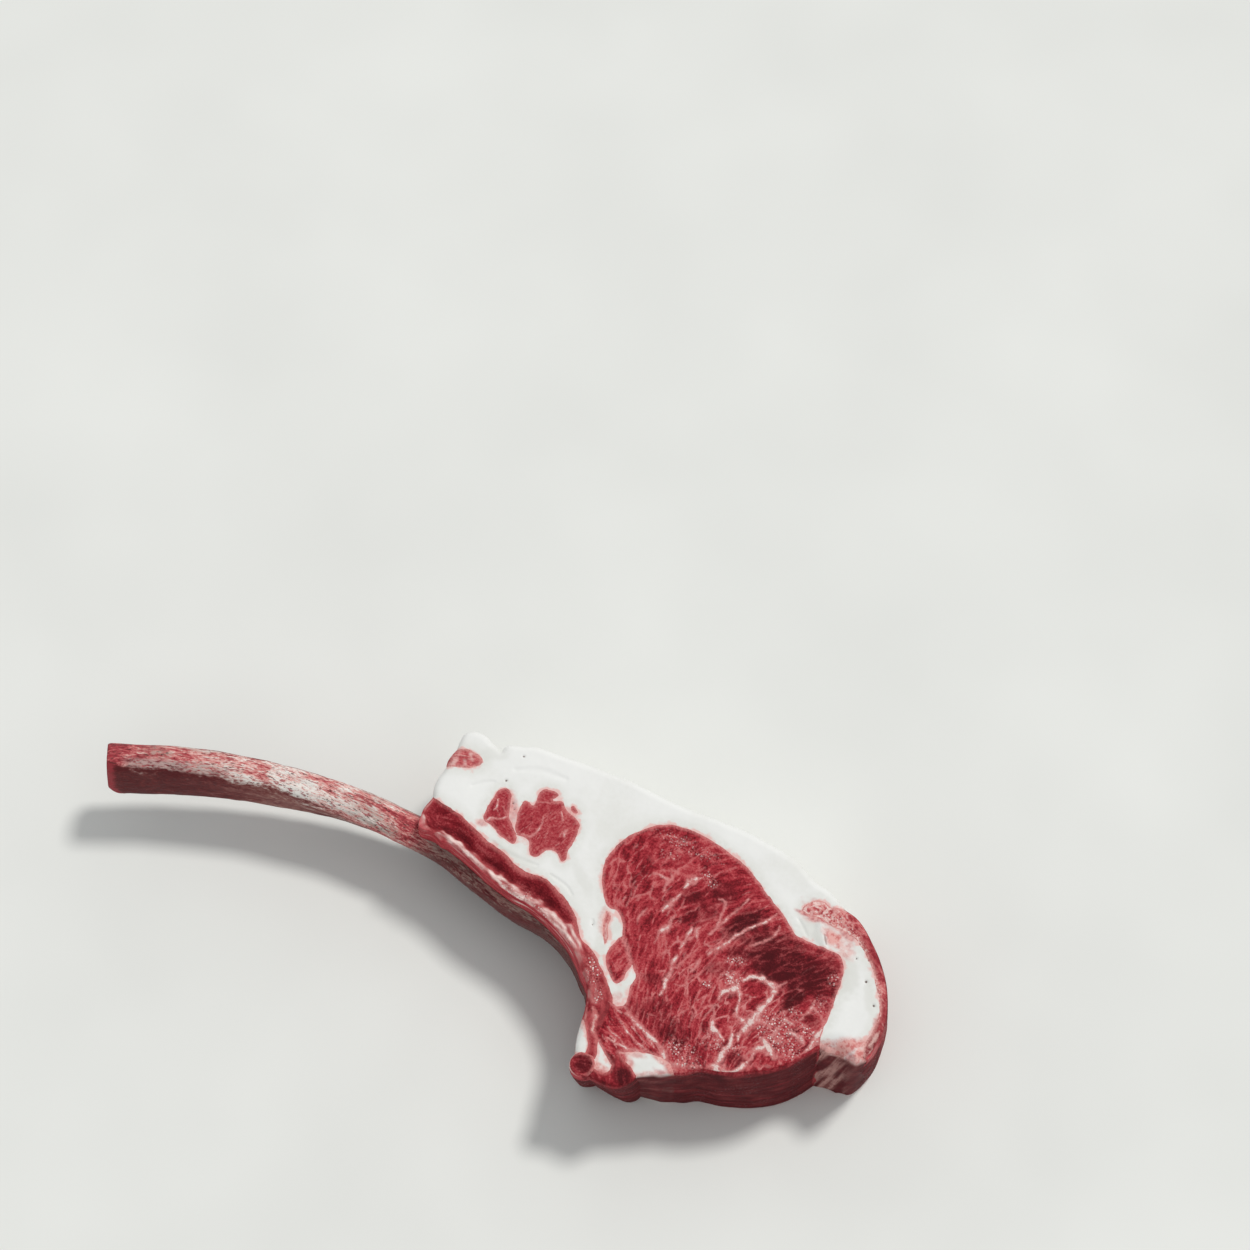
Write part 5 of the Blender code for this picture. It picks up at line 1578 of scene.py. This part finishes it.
class Shader:
    """A material under construction, with short ways to add and link its nodes.

    Colours are given as 0 to 255 values on a screen, and lengths in millimetres.
    """

    def __init__(self, name):
        self.material = bpy.data.materials.new(name)
        self.material.use_nodes = True
        self.tree = self.material.node_tree

    def put(self, socket, value):
        if isinstance(value, bpy.types.NodeSocket):
            self.tree.links.new(value, socket)
        else:
            socket.default_value = linear(*value) if socket.type == "RGBA" else value

    def add(self, kind, inputs, output=0, **settings):
        node = self.tree.nodes.new("ShaderNode" + kind)
        for key, value in settings.items():
            setattr(node, key, value)
        for key, value in inputs.items():
            self.put(node.inputs[key], value)
        return node.outputs[output]

    def values(self, *names):
        return [self.add("Attribute", {}, "Fac", attribute_name=name) for name in names]

    def flow(self):
        return self.add("Attribute", {}, "Vector", attribute_name="flow")

    def place(self):
        """Where the surface is, in millimetres."""
        return self.scaled(self.add("TexCoord", {}, "Object"), (1 / MM, 1 / MM, 1 / MM))

    def math(self, operation, a, b):
        return self.add("Math", {0: a, 1: b}, operation=operation)

    def highest(self, first, *others):
        for other in others:
            first = self.math("MAXIMUM", first, other)
        return first

    def product(self, first, *others):
        for other in others:
            first = self.math("MULTIPLY", first, other)
        return first

    def sum(self, *terms):
        """Terms added up; a pair stands for a value and what to multiply it by."""
        total = None
        for term in terms:
            if isinstance(term, tuple):
                term = self.math("MULTIPLY", *term)
            total = term if total is None else self.math("ADD", total, term)
        return total

    def swing(self, value, size):
        """How far a value swings about its middle of 0.5, times a size."""
        return self.math("MULTIPLY", self.math("ADD", value, -0.5), size)

    def scaled(self, vector, scale):
        return self.add("VectorMath", {0: vector, 1: scale}, operation="MULTIPLY")

    def shifted(self, vector, amount, size):
        """The vector moved by a colour's value, centred, times a size."""
        centred = self.add("VectorMath", {0: amount, 1: (0.5,) * 3}, operation="SUBTRACT")
        grown = self.scaled(centred, (size,) * 3)
        return self.add("VectorMath", {0: vector, 1: grown}, operation="ADD")

    def part(self, vector, index):
        return self.add("SeparateXYZ", {"Vector": vector}, index)

    def noise(self, vector, scale, detail=2.0, rough=0.6, output="Fac"):
        """Noise at a scale, or at a scale for each axis."""
        if isinstance(scale, tuple):
            vector, scale = self.scaled(vector, scale), 1.0
        inputs = {"Vector": vector, "Scale": scale, "Detail": detail, "Roughness": rough}
        return self.add("TexNoise", inputs, output)

    def edges(self, vector):
        """Distance to the nearest border between cells scattered one to a unit square."""
        return self.add("TexVoronoi", {"Vector": vector, "Scale": 1.0}, "Distance",
                        feature="DISTANCE_TO_EDGE", voronoi_dimensions="2D")

    def cell_shade(self, vector):
        """A random value for each of the same cells."""
        colour = self.add("TexVoronoi", {"Vector": vector, "Scale": 1.0}, "Color",
                          voronoi_dimensions="2D")
        return self.add("SeparateColor", {"Color": colour})

    def grains(self, vector, scale):
        """Small round grains in about half of the cells scattered at this scale."""
        distance = self.add("TexVoronoi", {"Vector": vector, "Scale": scale}, "Distance")
        colour = distance.node.outputs["Color"]
        pick = self.add("SeparateColor", {"Color": colour})
        return self.product(self.ranged(distance, 0.46, 0.20), self.ranged(pick, 0.34, 0.50))

    def ranged(self, value, low, high, start=0.0, end=1.0):
        """The start at the low value, the end at the high one, and eased between."""
        inputs = {"Value": value, "From Min": low, "From Max": high,
                  "To Min": start, "To Max": end}
        return self.add("MapRange", inputs, interpolation_type="SMOOTHSTEP")

    def mixed(self, share, a, b):
        return self.add("Mix", {0: share, 6: a, 7: b}, 2, data_type="RGBA")

    def ramp(self, value, stops):
        colour = self.add("ValToRGB", {0: value})
        elements = colour.node.color_ramp.elements
        while len(elements) < len(stops):
            elements.new(0.5)
        for element, (place, shade) in zip(elements, stops):
            element.position, element.color = place, linear(*shade)
        return colour

    def finish(self, colour, rough, specular, height=None, distance=0.0):
        surface = self.tree.nodes["Principled BSDF"].inputs
        self.put(surface["Base Color"], colour)
        self.put(surface["Roughness"], rough)
        self.put(surface["Specular IOR Level"], specular)
        if height is not None:
            bump = self.add("Bump", {"Height": height, "Distance": distance * MM})
            self.put(surface["Normal"], bump)
        return self.material


def wall_colour(s, flow, place):
    """Dark blood-red of the walls, in faint layers, which also paints their shade."""
    layers = s.noise(flow, (0.22, 0.10, 0.8), 4.0)
    blotches = s.noise(place, 0.30, 3.0)
    return s.ramp(s.sum((layers, 0.5), (blotches, 0.5)), LEAN_WALL)


def pale_seams(s, place, bundles, lobes, mesh, in_light, network):
    """Pale seams between the fibres' bundles and lobes, broken up."""
    uneven = s.swing(s.noise(place, 0.9), 0.34)
    thin = s.product(s.ranged(s.sum(bundles, uneven), 0.13, 0.0),
                     s.ranged(s.noise(place, 0.30), 0.42, 0.60),
                     s.sum((mesh, 0.34), 0.22), network, in_light)
    wide = s.product(s.ranged(s.sum(lobes, (uneven, 0.7)), 0.12, 0.0),
                     s.ranged(s.noise(place, 0.20), 0.44, 0.58), mesh, 0.45 * network, in_light)
    return s.highest(thin, wide)


def lean_wall(s, colour, flow, place, wall, blood_and_shade, veil):
    """The wall's blood and painted shade, and its thin membrane in streaks, which turns into
    flesh where thick.
    """
    colour = s.mixed(blood_and_shade, colour, wall_colour(s, flow, place))
    skin_tone = s.ranged(s.noise(flow, (1.3, 0.26, 1.3), 3.0), 0.30, 0.62)
    white_share = s.product(s.sum((skin_tone, 0.7), 0.3), s.ranged(veil, 0.35, 1.0))
    thin_skin = s.mixed(white_share, *LEAN_SKIN)
    flesh = s.mixed(skin_tone, *LEAN_FLESH)
    thin_skin = s.mixed(s.product(wall, s.ranged(veil, 1.0, 0.6)), thin_skin, flesh)
    return s.mixed(veil, colour, thin_skin)


def wet_grain(s, colour, place, dots, on_wet, pale):
    """Grainy wet lean: pale spots, dark gaps, and light grains that are partly painted glints."""
    clusters = s.product(on_wet, s.ranged(s.noise(place, 0.8, 1.0, 0.5), 0.36, 0.56, 0.35, 1.0))
    colour = s.mixed(s.product(s.ranged(dots, 0.45, 0.59), clusters, 0.75), colour, pale)
    colour = s.mixed(s.product(s.grains(place, 1.9), clusters, 0.6), colour, GRAIN_GAP)
    return s.mixed(s.product(s.grains(place, 2.1), clusters), colour, PALE_GRAIN_AND_GLINT)


def lean_material(name, tones, dark, pale, core, network=1.0, streaks=(1.7, 0.55, 0.55)):
    """Red lean: fibres, bundles parted by broken pale seams, veins, wet grain, dark zones."""
    s = Shader(name)
    flow, place = s.flow(), s.place()
    wet, rim, mesh, vein, wall, blood_and_shade, veil, dark_here = s.values(
        "wet", "rim", "mesh", "vein", "wall", "blood_and_shade", "veil", "dark")
    on_face = s.math("SUBTRACT", 1.0, wall)
    slow = s.noise(place, 0.13, 1.0, 0.5, "Color")
    quick = s.noise(place, 0.70, 2.0, 0.55, "Color")
    bent = s.shifted(s.shifted(flow, slow, 3.0), quick, 0.7)
    fibre = s.noise(bent, streaks, 3.0, 0.62)
    grain = s.noise(place, 2.6, 3.0, 0.66)
    cloud = s.noise(place, 0.16, 2.0, 0.5)
    bundle_place = s.scaled(bent, (0.58, 0.22, 0.25))
    bundles, shade_of_bundle = s.edges(bundle_place), s.cell_shade(bundle_place)
    lobes = s.edges(s.scaled(bent, (0.24, 0.13, 0.16)))

    tone = s.sum((fibre, 0.58), (grain, 0.50), (cloud, 0.26), -0.17,
                 (s.ranged(rim, 3.2, 0.0), 0.035), (mesh, 0.03))
    body = s.sum(s.ranged(bundles, 0.02, 0.28, 0.05, -0.035), s.swing(shade_of_bundle, 0.15))
    tone = s.sum(tone, s.product(body, network, on_face))
    colour = s.ramp(tone, list(zip((0.33, 0.42, 0.50, 0.58, 0.68), tones)))
    colour = s.mixed(s.product(dark_here, s.ranged(tone, 0.42, 0.68, 1.0, 0.62)), colour, dark)

    # Seams and veins.
    in_light = s.sum((dark_here, -0.75), 1.0)
    seams = pale_seams(s, place, bundles, lobes, mesh, in_light, network)
    swell = s.ranged(s.noise(place, 0.75), 0.38, 0.60, 0.62, 1.12)
    broken = s.product(vein, swell, s.ranged(grain, 0.30, 0.60, 0.80, 1.12))
    fatty = s.product(s.highest(seams, broken), on_face)
    colour = s.mixed(s.ranged(fatty, 0.04, 0.62, 0.0, 0.92), colour, pale)
    colour = s.mixed(s.ranged(fatty, 0.56, 1.0), colour, core)
    # A lighter edge along the fat.
    edge = s.product(s.ranged(rim, 0.9, 0.0), s.ranged(grain, 0.3, 0.65, 0.4, 0.85),
                     on_face, s.ranged(dark_here, 0.5, 0.9, 1.0, 0.3))
    colour = s.mixed(s.product(edge, s.ranged(fatty, 0.60, 0.25)), colour, pale)
    colour = lean_wall(s, colour, flow, place, wall, blood_and_shade, veil)
    dots = s.noise(place, 2.6, 3.0, 0.62)
    colour = wet_grain(s, colour, place, dots, s.product(wet, on_face), pale)

    gloss = s.ranged(s.noise(place, 3.1, 1.0, 0.5), 0.58, 0.66)
    gloss = s.product(gloss, s.sum((wet, 1.0), (s.ranged(cloud, 0.45, 0.62), 0.5)))
    rough = s.ranged(s.highest(gloss, s.product(veil, 0.4)), 0.0, 0.8, 0.74, 0.12)
    height = s.sum((fibre, 0.8), (grain, 0.7), (fatty, 0.3), (s.product(dots, wet), 0.3))
    return s.finish(colour, rough, 0.13, height, 0.26)


def fat_material(name):
    """White fat, pink in a thin line along the lean and where blood has run."""
    s = Shader(name)
    flow, place = s.flow(), s.place()
    rim, blush, blood_and_shade, veil, grey, dark, meat, pit_and_shadow, run = s.values(
        "rim", "blush", "blood_and_shade", "veil", "grey", "dark", "meat", "pit_and_shadow", "run")
    cloud = s.noise(place, 0.08, 3.0, 0.55)
    fine = s.noise(place, 1.1, 3.0)
    colour = s.ramp(s.sum((cloud, 0.8), (fine, 0.2)), FAT_TONES)
    beside_lean = s.product(s.ranged(rim, 2.6, 0.4), s.ranged(fine, 0.3, 0.65, 0.35, 0.8))
    colour = s.mixed(beside_lean, colour, FAT_BESIDE_LEAN)
    # Painted shade: greyer patches on the fat.
    colour = s.mixed(s.product(grey, 0.7), colour, FAT_PAINTED_SHADE)
    ragged_rim = s.sum(rim, s.swing(fine, 1.3), s.swing(s.noise(place, 0.33), 3.2))
    colour = s.mixed(s.product(s.ranged(ragged_rim, 0.55, -0.1), 0.7), colour, FAT_PINK)
    patch = s.highest(s.product(blush, s.ranged(fine, 0.32, 0.56, 0.5, 1.0)),
                      s.ranged(blush, 0.7, 1.0))
    flush = s.mixed(s.ranged(s.noise(place, 1.2), 0.42, 0.62), *FAT_FLUSH)
    colour = s.mixed(patch, colour, flush)
    # Shreds of lean on the fat, deep red where it is dark.
    shred_tone = s.sum((fine, 0.6), (s.noise(place, 1.9), 0.4))
    shred = s.mixed(dark, s.ramp(shred_tone, SHRED), s.ramp(shred_tone, DEEP_SHRED))
    colour = s.mixed(meat, colour, shred)
    # Dark pits, and the painted shadow in the folded step.
    colour = s.mixed(s.ranged(pit_and_shadow, 0.2, 0.8), colour, FAT_PIT_AND_SHADOW)
    # Blood with painted shade, and membrane, on the wall.
    colour = s.mixed(blood_and_shade, colour, wall_colour(s, flow, place))
    level = s.part(flow, 2)
    leaning = s.sum(run, (level, -0.25))
    upright = s.add("CombineXYZ", {"X": s.product(leaning, 1.3), "Z": s.product(level, 0.12)})
    folds = s.sum((s.noise(upright, 1.0, 3.0), 0.75), (fine, 0.25))
    colour = s.mixed(veil, colour, s.mixed(s.ranged(folds, 0.38, 0.58), *FAT_FILM))
    rough = s.sum(s.ranged(fine, 0.3, 0.7, 0.46, 0.58), (blood_and_shade, 0.18))
    return s.finish(colour, rough, 0.15, s.sum((fine, 0.35), (cloud, 0.6)), 0.08)


def bone_top(s, flow, along, streak, fine):
    """The rib from above: redder at the cut end, palest halfway, greyer towards the meat."""
    patch = s.noise(flow, (0.09, 0.26, 0.26), 2.0, 0.5)
    tone = s.sum((streak, 0.60), (fine, 0.50), (patch, 0.45), -0.275)
    pale_middle = s.product(s.ranged(along, 16.0, 38.0), s.ranged(along, 64.0, 48.0))
    tone = s.sum(tone, (pale_middle, 0.075), (s.ranged(along, 18.0, 0.0), -0.10))
    colour = s.ramp(tone, BONE_TONES)
    grey_zone = s.sum(s.ranged(along, 44.0, 58.0),
                      s.product(s.ranged(along, 4.0, 10.0), s.ranged(along, 26.0, 14.0), 0.8))
    grey = s.product(grey_zone, s.ranged(patch, 0.40, 0.56), s.ranged(fine, 0.36, 0.6), 0.85)
    colour = s.mixed(grey, colour, BONE_GREY)
    red = s.ranged(s.noise(flow, (0.36, 1.1, 1.1), 3.0, 0.7), 0.56, 0.63)
    colour = s.mixed(s.product(red, 0.8), colour, BONE_RED)
    fleck = s.ranged(s.noise(flow, (1.0, 2.8, 2.8)), 0.60, 0.65)
    colour = s.mixed(s.product(fleck, 0.85), colour, BONE_FLECK)
    # A painted highlight: a greyish band along the upper edge near the cut end, where the wet
    # rounded edge catches the light.
    toward = s.part(flow, 1)
    edge_highlight = s.product(s.ranged(s.sum(toward, (streak, 3.0), -1.5), 0.9, 2.2),
                     s.ranged(along, 2.0, 6.0), s.ranged(along, 30.0, 18.0),
                     s.ranged(fine, 0.36, 0.54), 0.85)
    return s.mixed(edge_highlight, colour, BONE_EDGE_HIGHLIGHT)


def bone_below(s, colour, along, upness, streak, fine):
    """The rib's side and underside in painted shade, and its part inside the meat: bare bone
    above, painted shade below.
    """
    level = s.sum(upness, s.swing(streak, 1.6), s.swing(fine, 0.8),
                  (s.ranged(along, 30.0, 56.0), 0.62))
    low = s.ranged(level, 0.85, 0.35)
    tone = s.sum((streak, 0.45), (fine, 0.55), (s.ranged(along, 14.0, 36.0), 0.18), -0.09)
    colour = s.mixed(low, colour, s.ramp(tone, BONE_SHADE))
    # Painted shade along the lowest side towards the meat.
    lower = s.product(s.ranged(s.sum(upness, (streak, 0.5), -0.25), 0.02, -0.2),
                      s.ranged(along, 36.0, 48.0), 0.8)
    colour = s.mixed(lower, colour, BONE_LOW_SHADE)
    sawn = s.product(s.ranged(s.sum(along, (fine, 3.0), -1.5), 2.0, 0.7), low, 0.8)
    colour = s.mixed(sawn, colour, BONE_SAWN)
    # Inside the meat: bare bone above, painted shade below.
    bare_share = s.ranged(s.sum(upness, s.swing(streak, 2.4), s.swing(fine, 1.6)), 0.70, 1.20)
    inner = s.mixed(bare_share, BONE_INNER_SHADE, s.ramp(tone, BONE_BARE))
    return s.mixed(s.product(s.ranged(along, 62.0, 70.0), 0.85), colour, inner)


def bone_material(name):
    """Scraped rib: pink above with pale and red streaks, and marrow in a shell at its end."""
    s = Shader(name)
    flow = s.flow()
    cut, core, upness = s.values("cut", "core", "upness")
    along = s.part(flow, 0)
    streak = s.noise(flow, (0.20, 0.80, 0.80), 5.0, 0.70)
    fine = s.noise(flow, (0.95, 2.6, 2.6), 4.0, 0.70)
    colour = bone_top(s, flow, along, streak, fine)
    colour = bone_below(s, colour, along, upness, streak, fine)
    marrow = s.ramp(s.noise(s.place(), 1.7, 4.0, 0.7), MARROW)
    end = s.mixed(s.ranged(core, 0.34, 0.16), marrow, s.mixed(fine, *SHELL))
    colour = s.mixed(cut, colour, end)
    rough = s.ranged(fine, 0.3, 0.7, 0.40, 0.62)
    return s.finish(colour, rough, 0.2, s.sum((streak, 0.8), (fine, 0.7)), 0.30)


def floor_material():
    s = Shader("floor")
    cloud = s.noise(s.place(), 0.02, 2.0, 0.5)
    return s.finish(s.ramp(cloud, FLOOR_TONES), 0.75, 0.2)


def chop_materials():
    """One material for each piece of the chop, by the piece's name."""
    made = {
        look: lean_material(look, tones, dark, pale, core, **settings)
        for look, (tones, dark, pale, core, settings) in LEAN_LOOKS.items()
    }
    made["fat"] = fat_material("fat")
    chosen = {}
    for name in LABELS:
        look = LOOK_OF_SLOT[SLOTS.get(name, "muscle")]
        chosen[name] = made["fine_lean" if name.startswith("side_muscle") else look]
    return chosen


# ---------------------------------------------------------------- stage

def placed(name, data):
    obj = bpy.data.objects.new(name, data)
    bpy.context.scene.collection.objects.link(obj)
    return obj


def build_stage():
    mesh = bpy.data.meshes.new("floor")
    corners = [(-1, -1), (1, -1), (1, 1), (-1, 1)]
    mesh.from_pydata([(x * FLOOR_REACH, y * FLOOR_REACH, 0) for x, y in corners], [],
                     [(0, 1, 2, 3)])
    mesh.materials.append(floor_material())
    floor = placed("floor", mesh)

    world = bpy.data.worlds.new("studio")
    world.use_nodes = True
    background = world.node_tree.nodes["Background"]
    background.inputs["Color"].default_value = SKY_COLOUR
    background.inputs["Strength"].default_value = SKY_STRENGTH
    bpy.context.scene.world = world

    light = bpy.data.lights.new("key", "SUN")
    light.energy = SUN_STRENGTH
    light.angle = math.radians(SUN_WIDTH)
    light.color = SUN_COLOUR
    key = placed("key", light)
    key.rotation_euler = TOWARDS_SUN.normalized().to_track_quat("Z", "Y").to_euler()

    turn, lift = math.radians(CAMERA_AZIMUTH), math.radians(CAMERA_ELEVATION)
    back = Vector((
        math.sin(turn) * math.cos(lift), -math.cos(turn) * math.cos(lift), math.sin(lift),
    ))
    data = bpy.data.cameras.new("camera")
    data.sensor_width = SENSOR
    data.lens = SENSOR * CAMERA_DISTANCE / CAMERA_FIELD
    camera = placed("camera", data)
    camera.location = CAMERA_TARGET + back * CAMERA_DISTANCE
    camera.rotation_euler = back.to_track_quat("Z", "Y").to_euler()
    bpy.context.scene.camera = camera
    bpy.context.scene.view_settings.view_transform = "Standard"


def main():
    build_chop(chop_materials())
    build_rib(bone_material("bone"))
    build_stage()


main()
